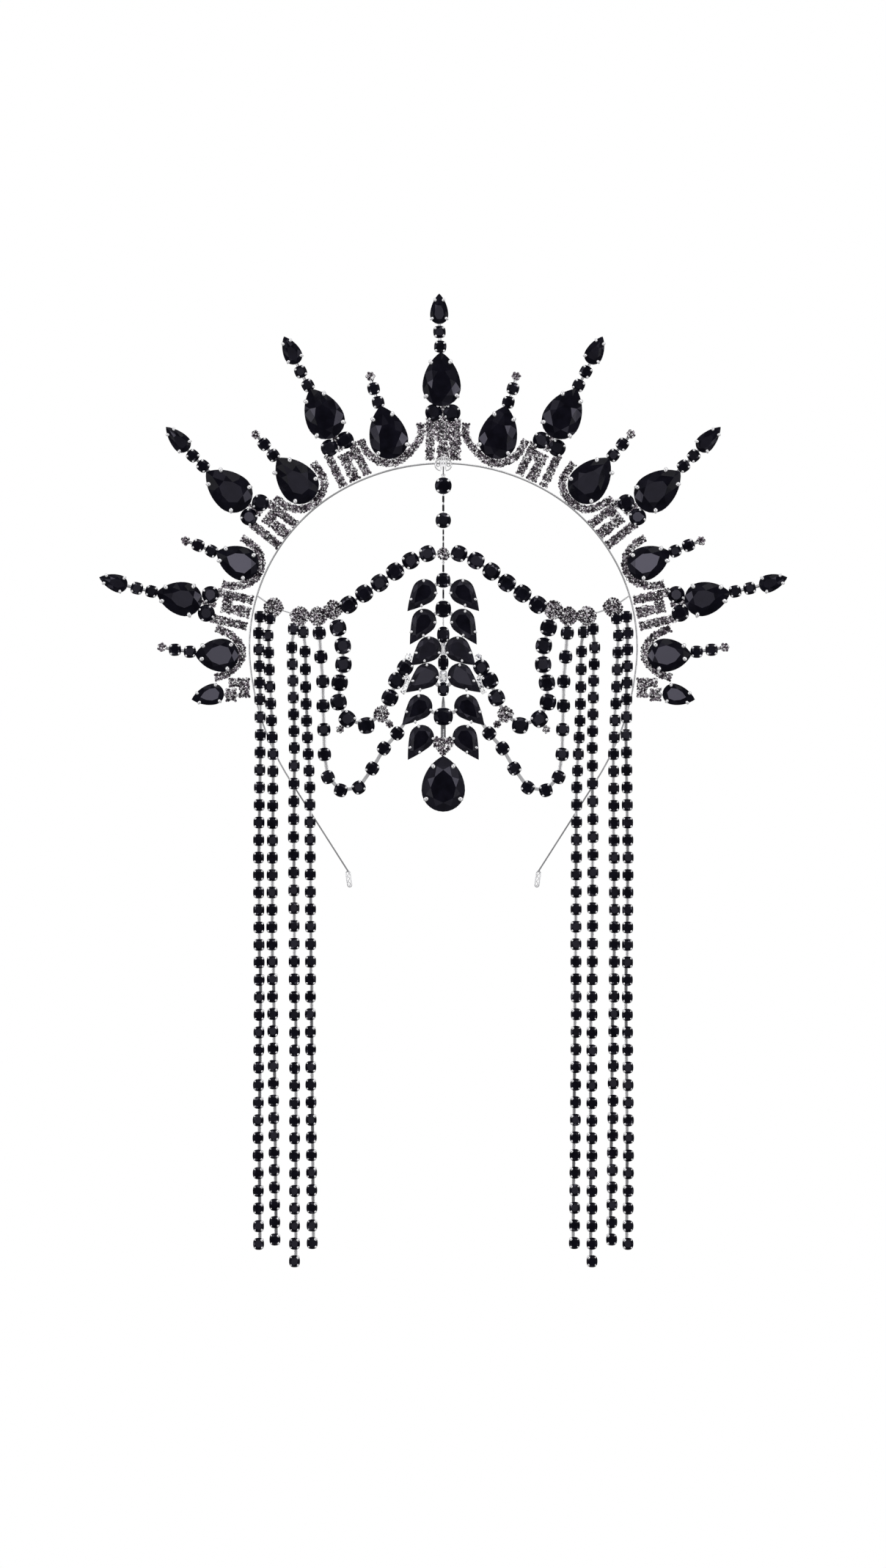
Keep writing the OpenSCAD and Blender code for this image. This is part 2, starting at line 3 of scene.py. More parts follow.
import bpy
import numpy as np
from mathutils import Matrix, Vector


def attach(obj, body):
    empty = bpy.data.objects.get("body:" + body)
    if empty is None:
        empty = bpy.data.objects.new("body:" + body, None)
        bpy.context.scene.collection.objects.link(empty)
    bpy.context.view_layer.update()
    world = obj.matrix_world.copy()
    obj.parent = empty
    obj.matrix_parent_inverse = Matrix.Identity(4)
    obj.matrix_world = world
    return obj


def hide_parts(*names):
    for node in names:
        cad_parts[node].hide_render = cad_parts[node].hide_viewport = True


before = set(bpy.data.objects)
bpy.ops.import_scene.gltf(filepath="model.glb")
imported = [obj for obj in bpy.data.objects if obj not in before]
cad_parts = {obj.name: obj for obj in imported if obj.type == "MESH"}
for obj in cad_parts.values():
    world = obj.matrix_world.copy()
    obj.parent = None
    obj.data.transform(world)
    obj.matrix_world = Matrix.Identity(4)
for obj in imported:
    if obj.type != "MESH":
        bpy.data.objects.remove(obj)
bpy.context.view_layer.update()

# HEADBAND
# A strip of spring steel, 5 mm wide and 0.5 mm thick with rolled edges, bent to an arch
# that narrows into two straight legs. It is the part that grips the head, and
# everything else is soldered or hooked to it.
STRIP_WIDE, STRIP_THICK, STRIP_ROUND = 5.0, 0.48, 0.2
BAND_FRONT, BAND_MIDDLE = 1.5, 0.4
BAND_ARCS = [(76, 30), (66, 65.5), (96, 27)]  # radius of the inner face, sweep in degrees
# the legs' length and steps, and how far the strip's face is painted towards shade on the legs and on the
# arch
LEG, LEG_STEPS, LEG_TONE, ARCH_TONE = 39.8, 3, 0.6, 0.25
HANDS = ((-1, "left"), (1, "right"))


def cos_sin(turn):
    """Cosine and sine of a turn in degrees."""
    return math.cos(math.radians(turn)), math.sin(math.radians(turn))


def spin(turn):
    """Turns rows of points by degrees, seen from the front."""
    c, s = cos_sin(turn)
    return np.array([[c, s, 0], [-s, c, 0], [0, 0, 1]])


def outward(heading):
    """Which way is out from the band where it runs at a heading, 0 at its top."""
    return np.array(cos_sin(heading)[::-1])


# the centre of each arc of the right half, its middle line, and the leg at its end
heading, at, centres, line = 0.0, np.zeros(2), [], []
for radius, bend in BAND_ARCS:
    centres.append(at - radius * outward(heading))
    steps = round(bend / 2)
    turns = [heading + k * bend / steps for k in range(steps)]
    line += [centres[-1] + (radius + BAND_MIDDLE) * outward(turn) for turn in turns]
    heading += bend
    at = centres[-1] + radius * outward(heading)
end, (c, s) = at + BAND_MIDDLE * outward(heading), cos_sin(heading)
line += [end + LEG * share * np.array([c, -s]) for share in np.linspace(0, 1, LEG_STEPS + 1)]


def skin(rings, n, closed=False):
    """Faces between rings of n points, capped at both ends unless the rings close."""
    faces = [
        (i * n + k, i * n + (k + 1) % n, (i + 1) % rings * n + (k + 1) % n, (i + 1) % rings * n + k)
        for i in range(rings if closed else rings - 1)
        for k in range(n)
    ]
    if not closed:
        faces += [tuple(range(n))[::-1], tuple(range((rings - 1) * n, rings * n))]
    return faces


def sweep(path, section, up=(0, 0, 1), taper=None, closed=False):
    """Draws a section along a path that stays square to up. Gives points and faces."""
    path, up = np.array(path, float), np.array(up, float)
    if closed:
        ahead = np.roll(path, -1, axis=0) - np.roll(path, 1, axis=0)
    else:
        ahead = np.gradient(path, axis=0)
    ahead /= np.linalg.norm(ahead, axis=1, keepdims=True)
    across = np.cross(up, ahead)
    wide = np.ones(len(path)) if taper is None else np.array(taper, float)
    ring = np.array(section, float)
    places = ring[None, :, :1] * across[:, None] + ring[None, :, 1:] * up
    points = (path[:, None] + wide[:, None, None] * places).reshape(-1, 3)
    return points, skin(len(path), len(ring), closed)


def oval(radius, steps=8, tall=None):
    """Points round a circle, or round an oval with its half height given too."""
    turns = [2 * math.pi * k / steps for k in range(steps)]
    return [(radius * math.cos(a), (tall or radius) * math.sin(a)) for a in turns]


def rolled_section(wide, tall, radius, steps=3):
    """A flat strip's section with round corners."""
    points = []
    for quarter, (sx, sy) in enumerate([(1, 1), (-1, 1), (-1, -1), (1, -1)]):
        for k in range(steps + 1):
            c, s = cos_sin(90 * quarter + 90 * k / steps)
            points.append((sx * (wide / 2 - radius) + radius * c, sy * (tall / 2 - radius) + radius * s))
    return points


def stood(name, data):
    """Puts an object in the scene."""
    made = bpy.data.objects.new(name, data)
    bpy.context.scene.collection.objects.link(made)
    return made


class Tray:
    """Small parts of one finish, laid out in the front view and made into one piece."""

    def __init__(self, finish=None, sharp=0):
        self.finish, self.sharp = finish, sharp
        self.points, self.faces, self.tones, self.laid = [], [], [], 0

    def lay(self, part, at=(0, 0, 0), turn=0, size=1.0, tones=0.0):
        """Lays a part down. Tones are one for all its faces, or a list."""
        points, faces = part
        self.points.append((points * size) @ spin(turn) + np.array(at, float))
        self.faces += [tuple(k + self.laid for k in face) for face in faces]
        self.tones += tones if isinstance(tones, list) else [tones] * len(faces)
        self.laid += len(points)

    def part(self):
        """All that was laid, as one part."""
        return np.concatenate(self.points), self.faces

    def piece(self, node, word, side=1, halo=None, stem=None):
        """One mesh of all that was laid, in place of the node, named by it and a word. A
        ray, drawn upright from the halo's centre, is stood at its angle."""
        points, faces = self.part()
        if halo is not None:
            points = points @ spin(-halo) - (0, HALO_DROP, 0)
        points = points[:, [0, 2, 1]] * (0.001 * side, -0.001, 0.001)
        faces = [face[::-1] for face in faces] if side < 0 else faces
        name, (finish, slot) = (stem or node) + word, self.finish
        mesh = bpy.data.meshes.new(name)
        mesh.from_pydata(points.tolist(), [], faces)
        mesh.materials.append(finish)
        # painted light: each face's tone, how far its colour is painted towards shade or towards a reflection
        if any(self.tones):
            mesh.attributes.new("painted_light_tone", "FLOAT", "FACE").data.foreach_set("value", self.tones)
        if self.sharp:
            mesh.shade_smooth()
            mesh.set_sharp_from_angle(angle=math.radians(self.sharp))
        made = stood(name, mesh)
        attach(made, "root")
        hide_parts(node)


def pieces(node, side=1, halo=None, stem=None, **laid):
    """The pieces of a node, each given by its word and its tray."""
    for word, tray in laid.items():
        tray.piece(node, "_" + word, side, halo, stem)


def put(tree, kind, **values):
    """A shader node. Plain words are its own settings, those ending in _in its sockets."""
    made = tree.nodes.new("ShaderNode" + kind)
    for word, value in values.items():
        if word.endswith("_in"):
            made.inputs[word[:-3].replace("_", " ").title()].default_value = value
        else:
            setattr(made, word, value)
    return made


def connect(tree, *rows):
    """Links nodes: each row has a node, its output, the next node and its input."""
    for node, output, onward, socket in rows:
        tree.links.new(node.outputs[output], onward.inputs[socket])


def shader_group(name, inputs, outputs):
    """An empty effect with its inputs, their usual values and its outputs, all numbers."""
    group = bpy.data.node_groups.new(name, "ShaderNodeTree")
    for label, value in inputs:
        socket = group.interface.new_socket(label, in_out="INPUT", socket_type="NodeSocketFloat")
        socket.default_value = value
    for label in outputs:
        group.interface.new_socket(label, in_out="OUTPUT", socket_type="NodeSocketFloat")
    return group, group.nodes.new("NodeGroupInput"), group.nodes.new("NodeGroupOutput")


def new_finish(name, **sockets):
    """A new material, its node tree and its shader with some sockets set."""
    finish = bpy.data.materials.new(name)
    finish.use_nodes = True
    shader = finish.node_tree.nodes["Principled BSDF"]
    for word, value in sockets.items():
        shader.inputs[word.replace("_", " ")].default_value = value
    return finish, finish.node_tree, shader


# Handling marks: a soft patchy mask and a fine grain, used by every metal and jet stone
marks, marks_in, marks_out = shader_group(
    "handling marks", [("Patch", 300), ("Grain", 3000)], ["Mask", "Height"]
)
place = put(marks, "TexCoord")
patch = put(marks, "TexNoise", Detail_in=3)
spread = put(marks, "MapRange", From_Min_in=0.35, From_Max_in=0.65)
grain = put(marks, "TexNoise", Detail_in=2)
connect(
    marks,
    (place, "Object", patch, "Vector"), (marks_in, "Patch", patch, "Scale"),
    (place, "Object", grain, "Vector"), (marks_in, "Grain", grain, "Scale"),
    (patch, "Fac", spread, "Value"), (spread, "Result", marks_out, "Mask"),
    (grain, "Fac", marks_out, "Height"),
)
# a colour mix's sockets, by number, as its other kinds share their names
MIX_SHARE, MIX_A, MIX_B, MIX_OUT = 0, 6, 7, 2
RELIEF = 0.00005


def marked_finish(name, slot, dark, light, toned, rough, patch_scale, grain_scale, bump, **sockets):
    """A finish whose colour and gloss wander between two values, with a fine grain.
    Faces with a tone turn towards the toned colour, which is painted light: painted shade on metal, a painted
    reflection on jet."""
    finish, tree, shader = new_finish(name, **sockets)
    effect = put(tree, "Group", node_tree=marks, Patch_in=patch_scale, Grain_in=grain_scale)
    colour = put(tree, "Mix", data_type="RGBA")
    shown = put(tree, "Mix", data_type="RGBA")
    for mix, socket, shade in ((colour, MIX_A, dark), (colour, MIX_B, light), (shown, MIX_B, toned)):
        mix.inputs[socket].default_value = (*shade, 1)
    tone = put(tree, "Attribute", attribute_type="GEOMETRY", attribute_name="painted_light_tone")
    gloss = put(tree, "MapRange", To_Min_in=rough[0], To_Max_in=rough[1])
    relief = put(tree, "Bump", Strength_in=bump, Distance_in=RELIEF)
    connect(
        tree,
        (effect, "Mask", colour, MIX_SHARE), (tone, "Fac", shown, MIX_SHARE),
        (colour, MIX_OUT, shown, MIX_A), (shown, MIX_OUT, shader, "Base Color"),
        (effect, "Mask", gloss, "Value"), (gloss, "Result", shader, "Roughness"),
        (effect, "Height", relief, "Height"), (relief, "Normal", shader, "Normal"),
    )
    return finish, slot


# painted shade: the dark colour that toned faces of steel and silver turn towards, for shaded sides and dim
# reflections
PAINTED_SHADE = (0.16, 0.16, 0.17)
band_steel = marked_finish(
    "spring steel", "band_steel", (0.78, 0.78, 0.80), (0.95, 0.95, 0.97), PAINTED_SHADE,
    rough=(0.2, 0.32), patch_scale=160, grain_scale=2600, bump=0.2, Metallic=1.0,
)
silver = marked_finish(
    "silver plate", "silver_setting", (0.88, 0.87, 0.90), (0.99, 0.99, 1.0), PAINTED_SHADE,
    rough=(0.12, 0.24), patch_scale=700, grain_scale=5000, bump=0.15, Metallic=0.85,
)


def edged(steps, tone=0.0):
    """Tones for a swept rolled strip: its sides are painted fully dark as shade and its face takes one tone
    of painted shade.
    """
    return ([1] + [tone] * 5 + [1] * 3 + [0] * 5 + [1] * 2) * steps + [1, 1]


BAND_SHARP = 50
band = Tray(band_steel, BAND_SHARP)
path = [(-x, y) for x, y in line[:0:-1]] + [(x, y) for x, y in line]
middle = BAND_FRONT - STRIP_WIDE / 2
strip = sweep([(x, y, middle) for x, y in path], rolled_section(STRIP_THICK, STRIP_WIDE, STRIP_ROUND))
# the strip's sides and face are painted towards shade
leg_tones = edged(LEG_STEPS, LEG_TONE)
arch_tones = edged(len(path) - 1 - 2 * LEG_STEPS, ARCH_TONE)
band.lay(strip, tones=leg_tones[:-2] + arch_tones[:-2] + leg_tones)

# Each leg ends in an oval loop of thin wire, brazed on, with a wavy wire down its middle,
# for a hair grip or elastic
LOOP_WIRE, LOOP_WIDE, LOOP_LONG, LOOP_TURN = 0.5, 1.9, 6.3, -8
WAVE_WIRE, WAVE_WIDE, WAVE_STEP = 0.28, 0.35, 0.6
bend = (LOOP_WIDE - LOOP_WIRE) / 2
loop = [(bend * math.cos(a), bend * math.sin(a), 0) for a in np.linspace(0, math.pi, 9)]
loop += [(-x, -y - (LOOP_LONG - LOOP_WIDE), 0) for x, y, _ in loop]
loop_part = sweep([(x, y - LOOP_WIDE / 2, z) for x, y, z in loop], oval(LOOP_WIRE / 2), closed=True)
wave = [(WAVE_WIDE * math.sin(1.9 * k), -WAVE_STEP * k - 0.5, 0) for k in range(10)]
loop_foot = (line[-1][0] + 0.16, line[-1][1] + 0.25)
for side in (-1, 1):
    for part in (loop_part, sweep(wave, oval(WAVE_WIRE / 2, 6))):
        band.lay(part, (side * loop_foot[0], loop_foot[1], middle), side * LOOP_TURN)
band.piece("headband", "_strip")

# DRAPE HOOK
# A clasp of bright wire at the top of the band: a ring over the joint of the top comb,
# two curved bars inside it, and a pin that the veil hangs from.
HOOK_RING, HOOK_WIRE, HOOK_Y, BAR_WIRE, PIN_WIRE = 6.4, 0.65, -0.3, 0.5, 0.45
hook, hook_dark = Tray(silver, BAND_SHARP), Tray(band_steel, BAND_SHARP)
hook_z = BAND_FRONT + 0.05 + HOOK_WIRE / 2
bend = (HOOK_RING - HOOK_WIRE) / 2


def bent_wire(rows, wire, z=0.0):
    """Round wire through points of the front view."""
    return sweep([(x, y, z) for x, y in rows], oval(wire / 2))


hood = [(bend * math.cos(a), HOOK_Y + bend * math.sin(a)) for a in np.linspace(-0.2, math.pi + 0.2, 25)]
hook.lay(bent_wire(hood, HOOK_WIRE, hook_z))
LIP = [(3.0, -0.9), (2.5, -1.7), (1.8, -2.2), (0.9, -2.4)]
BAR = [(0.6, 2.4), (0.85, 1.2), (0.9, -0.2), (0.8, -2.0)]
# an oval beside each bar and an eye at the pin's foot: outline, wire radius, place
OVALS = [(oval(0.62, 16, 1.25), 0.16, 1.9, 0.3, 0), (oval(0.3, 12, 0.36), 0.14, 0.33, -4.1, 0.2)]
for side in (-1, 1):
    for rows, wire in ((LIP, PIN_WIRE), (BAR, BAR_WIRE)):
        hook.lay(bent_wire([(side * x, y) for x, y in rows], wire, hook_z))
    for outline, wire, x, y, z in OVALS:
        part = sweep([(*p, 0) for p in outline], oval(wire, 6), closed=True)
        hook.lay(part, (side * x, y, hook_z + z))
hook.lay(bent_wire([(0, -0.9), (0, 1), (0, 2.6)], BAR_WIRE, hook_z + 0.1))
hook_dark.lay(bent_wire([(0, -3.8), (0, -2), (0, -0.9)], PIN_WIRE, hook_z + 0.1), tones=1.0)
pieces("drape_hook", wire=hook, pin=hook_dark)

# RAYS OF THE HALO
# Fifteen rays stand on the band, seven long and eight short. Each is soldered up from
# cup-set jet glass stones and fine crystal chain: a comb or a horseshoe of chain at the
# foot, the large pear, two small round stones, and a small pear or a crystal ball.
HALO_DROP, RAY_BACK = 71.5, -1.4
# back of the veil's stones, and the height of the links between them
DRAPE_BACK, LINE_Z = 1.9, 2.8
RAY_STONE, CHAIN_STONE, BALL_D, SOLDER = 4.7, 6.5, 4.2, 1.1

# Each ray upright, from the halo's centre: the large stone's round end, half width, tip,
# turn, table's painted reflection tone, claws and painted flashes, the small stones above
# it, and a long ray's tip stone (place, half width, tip, turn, painted tone) and base stones,
# a short one's ball and garland
USUAL_RAY = dict(half=6.9, tip=12.7, turn=0, table=0)
SPIRES = [dict(
    angle=0, seat=(-0.6, 99.9), turn=1, small=[(-1.1, 114.8), (-1.4, 120.2)],
    claws=[(-4.4, 109), (2.7, 109), (-6.3, 96.6), (4.9, 96.6)],
    flashes=[(-4.7, 100, 0.5), (3.6, 100, 0.5), (-4.8, 103.5, 0.16), (2.8, 96.8, 0.1), (-4, 105, 0.12)],
    end=(-1.5, 126.5, 3.3, 7.8, 0, 0.15), base=[(-3.5, 90.5, 0), (3.2, 90.4, 0)],
), dict(
    angle=26.2, seat=(0.1, 97.8), small=[(0.3, 112.2), (0.5, 117.9)],
    claws=[(-3.6, 106.8), (3.6, 107), (-5.3, 94.3), (5.5, 94.1)],
    flashes=[(2.7, 103.6, 0.45), (4.6, 101.5, 0.2), (-4, 96.5, 0.3), (-2.2, 94.6, 0.35)]
    + [(4.2, 104.5, 0.15)],
    end=(0.3, 124.5, 3.3, 7.7, 0, 0.04), base=[(-3.1, 88, 0), (3.4, 88, 0)],
), dict(
    angle=51.6, seat=(0.4, 98.2), table=0.1, small=[(-0.6, 113.3), (-1.2, 118.6)],
    claws=[(-3.5, 107.2), (3.4, 107.5), (-5, 95), (5.8, 95)],
    flashes=[(-2.4, 94.2, 0.3), (-1.6, 92.8, 0.3)],
    end=(-2.2, 124.5, 3.25, 8.5, 8, 0.04), base=[(-3.1, 88.3, 0), (3.6, 88.4, 0.35)],
), dict(
    angle=76.8, seat=(0.5, 97.5), half=6.1, tip=10.7, table=0.13, small=[(0.5, 110.2), (0.6, 115.7)],
    claws=[(-2.2, 105.4), (3.1, 105.6), (-4.8, 95.5), (5.7, 94.7)],
    flashes=[(-0.4, 93.1, 0.4), (0.6, 92.4, 0.3)],
    end=(0.5, 122.6, 3.2, 7.5, 5, 0.04), base=[(-3.3, 88.8, 0.25), (3.7, 88.7, 0)],
)]
SPIKES = [dict(
    angle=14.2, seat=(-0.4, 82.9), small=[(0.1, 97.3), (0.5, 102.6)], ball=(0.5, 107.3),
    claws=[(-3.8, 91.7), (3.5, 91.5), (-6.4, 79.6), (4.6, 79)],
    flashes=[(2.6, 88.6, 0.45), (4.9, 83.2, 0.12), (4.2, 85.5, 0.2), (-4.8, 82, 0.5), (-3, 79, 0.06)],
    garland=[(-13.1, 85.8), (-12.5, 82), (-10.3, 79.2), (-7.3, 77), (-3.8, 75), (0, 74.1), (3.8, 75.2)]
    + [(6.9, 77.5), (8.7, 80.6), (9.8, 85.2)],
), dict(
    angle=39.8, seat=(-0.3, 82.9), table=0.1, small=[(0.2, 97.5), (0.2, 102.8)], ball=(0.2, 107.6),
    claws=[(-3.3, 92.2), (3.9, 92), (-6.2, 80.8), (4.8, 79.3)],
    flashes=[(-4, 82.5, 0.12), (-3, 80, 0.08)],
    garland=[(-9.3, 85.8), (-9.1, 81), (-8.2, 77.9), (-5.6, 75.7), (-2, 74.4), (2, 74.4), (5.3, 75.8)]
    + [(7.7, 78.4), (9, 81.4), (9.7, 84.9)],
), dict(
    angle=65, seat=(-0.3, 81.7), half=6, tip=10.4, table=0.65,
    small=[(0.2, 94), (0.4, 99.4)], ball=(0.8, 104.3),
    claws=[(-2.8, 89.6), (2.2, 89.8), (-4.9, 79.3), (4.3, 79.3)],
    flashes=[(-1.7, 78, 0.4), (1, 77, 0.05)],
    garland=[(-8.9, 85.8), (-8.4, 82), (-7.5, 78.9), (-5.2, 76.4), (-2, 74.7), (2, 74.7), (5, 76.4)]
    + [(7.2, 79), (8.8, 82), (9.4, 85)],
), dict(
    angle=88.6, seat=(0.8, 81.4), half=6, tip=9.8, table=0.4,
    small=[(-0.2, 93.3), (-0.8, 98.8)], ball=(-1.6, 103.7),
    claws=[(-2.5, 88.5), (2.3, 88.7), (-3.1, 78.2), (5.7, 79.3)],
    flashes=[(0.5, 76.7, 0.5)],
    garland=[(-9.1, 83.7), (-8, 81), (-6.8, 78.4), (-4.6, 75.8), (-1.8, 74.1), (1.8, 74.1), (4.6, 75.9)]
    + [(7, 78.6), (8.4, 81), (9.1, 83.6)],
)]
chance = np.random.default_rng(12)


def raised(flat, z):
    """Points of the front view at a height."""
    return np.column_stack([flat, np.full(len(flat), z)])


def loft(rings):
    """A solid skin over outlines of the same count: rows of outline and height."""
    return np.concatenate([raised(*ring) for ring in rings]), skin(len(rings), len(rings[0][0]))


def turned(profile, steps=12):
    """A round part from its back up its outside: rows of radius and height."""
    return loft([(oval(r, steps), h) for r, h in profile])


def bead(radius, steps=10, rows=6):
    """A ball of metal with its middle at the origin."""
    lats = np.linspace(-math.pi / 2, math.pi / 2, rows + 1)
    return turned([(max(radius * math.cos(a), 0.01), radius * math.sin(a)) for a in lats], steps)


# how steeply the crown rises to its middle, and how high that stands under the table
CROWN_BEND, CROWN_MIDDLE = 0.62, 0.86


def cut_stone(outline, table, middle, crown, girdle, pavilion, keel=0.45):
    """A faceted stone whose girdle's top is at z 0. The outline has four points for
    each main facet. Table and middle are shares of it, crown is its height."""
    rim = np.array(outline, float)
    n = len(rim) // 4
    rise = crown * (1 - (middle - table) / (1 - table) * CROWN_BEND)
    rings = [(rim[::4] * table, crown), (rim[2::4] * middle, rise * CROWN_MIDDLE), (rim, 0), (rim, -girdle)]
    rings.append((rim[::4] * keel, -girdle - pavilion))
    points = np.concatenate([raised(*ring) for ring in rings])
    # first points of the table, the middle, the girdle's top and foot, and the keel
    t, m, g, b, k = 0, n, 2 * n, 6 * n, 10 * n
    faces = [tuple(range(n))]
    for i in range(n):
        j = (i + 1) % n
        faces.append((t + i, m + i, t + j))
        faces.append((m + (i - 1) % n, g + 4 * i, m + i, t + i))
        for q in range(4 * i, 4 * i + 4):
            after = (q + 1) % (4 * n)
            faces.append((g + q, g + after, m + i))
            faces.append((b + q, b + after, g + after, g + q))
        faces.append((k + i, k + j) + tuple(b + (4 * i + q) % (4 * n) for q in (4, 3, 2, 1, 0)))
    faces.append(tuple(range(k, k + n))[::-1])
    return points, faces


# painted reflections: how light a facet's colour is painted, as if it flashed: mostly black, some grey, a few
# bright
FLASH = ((0.0, 0.46), (0.04, 0.2), (0.1, 0.16), (0.22, 0.1), (0.55, 0.05), (1.0, 0.03))


def facet_tones(n, table=0, lively=1, ring=0):
    """A painted tone for each face of a cut stone of n main facets, a painted reflection of
    the room flashing in it. The ring is the least tone of the facets round the table."""
    values, weights = zip(*FLASH)

    def picked():
        return ring + lively * chance.choice(values, p=weights)

    tones = [table]
    for _ in range(n):
        tones += [picked(), picked() * 0.6]
        tones += [picked() * 0.5, 0] * 2 + [picked() * 0.5, 0] * 2 + [0]
    return tones + [0]


def cushion(radius, power, count):
    """A round outline, squarer as power grows past 2."""
    points = []
    for c, s in oval(1, count):
        reach = radius * (abs(c) ** power + abs(s) ** power) ** (-1 / power)
        points.append((reach * c, reach * s))
    return points


def walked(path):
    """How far along a path each of its points lies."""
    return np.concatenate([[0], np.cumsum(np.linalg.norm(np.diff(path, axis=0), axis=1))])


PEAR_STEPS = 32


def pear_outline(r, tip, swing, grow=0.0):
    """Outline of a pear stone from its tip, anticlockwise, in even steps. Its sides are
    arcs that leave the round end at the swing, in degrees, and meet at the tip."""
    grow += 0.0 if swing > 10 else 0.03 * r - 0.02
    c, s = cos_sin(swing)
    shift = (tip * tip - r * r) / (2 * (r - tip * s))
    cx, cy, far = -shift * c, -shift * s, r + shift + grow
    end = math.degrees(math.acos(-cx / (r + shift)))
    half = [(-cx - far * c, cy + far * s) for c, s in map(cos_sin, np.linspace(end, swing, 40))]
    half += [((r + grow) * c, (r + grow) * s) for c, s in map(cos_sin, np.linspace(180 - swing, 270, 40)[1:])]
    half = np.array(half)
    half[0, 0] = half[-1, 0] = 0
    gone = walked(half)
    marks_at = np.linspace(0, gone[-1], PEAR_STEPS // 2 + 1)
    left = np.column_stack([np.interp(marks_at, gone, half[:, k]) for k in (0, 1)])
    return np.concatenate([left, (left * (-1, 1))[-2:0:-1]])


def claw(rim, wide, foot, reach, lift):
    """A claw that faces +x: a wire up the girdle, bent in over the edge to an oval head."""
    path = [(reach, 0, foot), (reach, 0, rim * 0.6), (reach * 0.8, 0, rim), (0, 0, rim + lift)]
    points, faces = bead(wide / 2)
    whole = Tray()
    whole.lay(sweep(path, oval(wide * 0.3, 6), up=(0, 1, 0), taper=(1, 1, 1, 0.9)))
    whole.lay((points * (1.25, 1.0, 0.8), faces), (0, 0, rim + lift))
    return whole.part()


# A pear cup's floor, its rim, the stone's girdle and crown as shares of the half width,
# and the play between stone and rim
FLOOR_T, RIM_SHARE, GIRDLE_SHARE, CROWN_SHARE, SEAT_CLEAR = 0.8, 0.36, 0.08, 0.26, 0.1


def pear_cup(metal, at, turn, r, tip, back, swing=3, wide=1.65, claws=None):
    """A pear stone's cup: a pressed floor, a wall and four claws, which usually are on
    its shoulders and beside its tip."""
    rim = FLOOR_T + r * RIM_SHARE
    for low, top, grow, tuck in ((0, FLOOR_T, 0.0, 0.2), (FLOOR_T, rim, -0.4, 0.05)):
        rows = [(grow - tuck, low), (grow, low + tuck), (grow, top - tuck), (grow - tuck, top)]
        metal.lay(loft([(pear_outline(r, tip, swing, g), z) for g, z in rows]), (*at, back), turn)
    part = claw(rim + SEAT_CLEAR + r * GIRDLE_SHARE, wide, 0.3, 0.4 * wide, 0.5 + wide * 0.1)
    c, s = cos_sin(turn)
    usual = [(x * r * share, y) for share, y in ((0.8, -0.42 * r), (0.47, 0.7 * tip)) for x in (-1, 1)]
    for x, y in claws or usual:
        way = turn + math.degrees(math.atan2(y * (r / tip if y > 0 else 1), x))
        metal.lay(part, (at[0] + x * c - y * s, at[1] + x * s + y * c, back), way)


def facet_at(points, faces, x, y):
    """Number of the first facet that the point lies in, seen from the front."""
    for k, face in enumerate(faces):
        rows = points[list(face), :2]
        turn_by = np.roll(rows, -1, axis=0) - rows
        if np.all(turn_by[:, 0] * (y - rows[:, 1]) - turn_by[:, 1] * (x - rows[:, 0]) > 0):
            return k


# a table lighter than this, or one inside a lighter ring, runs out towards the tip
CLEAR_TABLE = 0.2


def pear_jet(jet, at, turn, r, tip, back, swing=3, tilt=0.05, table=0, flashes=(), lively=1, ring=0):
    """The pear stone: brilliant-cut jet glass, tilted a little as it was set. Flashes are
    places on it, from the middle of its round end, where a facet is painted light as a painted reflection."""
    lean = chance.uniform(-tilt, tilt, 2) if tilt else (0, 0)
    girdle_top = FLOOR_T + r * RIM_SHARE + SEAT_CLEAR + r * GIRDLE_SHARE
    outline, shares = np.roll(pear_outline(r, tip, swing), 2, axis=0), (0.52, 0.76)
    if table > CLEAR_TABLE or ring:
        outline, shares = pear_outline(r, tip, swing), (0.59, 0.82)
    crown = r * CROWN_SHARE
    points, faces = cut_stone(outline, *shares, crown, r * GIRDLE_SHARE, r * RIM_SHARE - 0.7, 0.5)
    tones = facet_tones(PEAR_STEPS // 4, table, lively, ring)
    for x, y, tone in flashes:
        tones[facet_at(points, faces, x, y)] = tone
    above = points[:, 2] > 0
    points[above, 2] += (points[above, :2] @ lean) * points[above, 2] / crown
    jet.lay((points, faces), (*at, back + girdle_top), turn, tones=tones)


# A round stone's cup, as shares of the stone: its height, and its wall's radii and heights
CUP_SHARE, CUP_WALL = 0.42, [(0.4, 0), (0.47, 0.07), (0.485, 0.36), (0.45, 0.37)]
ROUND_R, ROUND_CROWN = 0.485, 0.2
round_parts = {}


def round_set(metal, jet, at, back, d, turn, power, head, shape=(1, 1), claws=(1, 1, 1, 1), table=0):
    """A round stone in its cup with four claws at the corners, from the upper right round
    by the upper left. The shape stretches it across and along."""
    key = (d, power, head, shape, claws)
    if key not in round_parts:
        cup, corner = Tray(), ROUND_R * d * 2 ** (0.5 - 1 / power) - head * 0.5
        cup.lay(loft([(cushion(d * share, power, 24), d * z) for share, z in CUP_WALL]))
        for a, share in zip((45, 135, 225, 315), claws):
            size = head * share
            points, faces = claw(CUP_SHARE * d, size, 0.2 * d, 0.3, 0.3 + size * 0.15)
            cup.lay((points + (corner, 0, 0), faces), turn=a)
        outline = cushion(d * ROUND_R, power, 32)
        points, faces = cut_stone(outline, 0.58, 0.8, d * ROUND_CROWN, d * 0.05, d * 0.25)
        drawn = cup.part(), (points + (0, 0, CUP_SHARE * d), faces)
        round_parts[key] = [(points * (*shape, 1), faces) for points, faces in drawn]
    set_metal, set_stone = round_parts[key]
    metal.lay(set_metal, (*at, back), turn)
    # the stone's table and facets are painted lighter in places, as painted reflections
    table = table or chance.choice((0, 0, 0.03, 0.1))
    jet.lay(set_stone, (*at, back), turn, tones=facet_tones(8, table, 0.5))


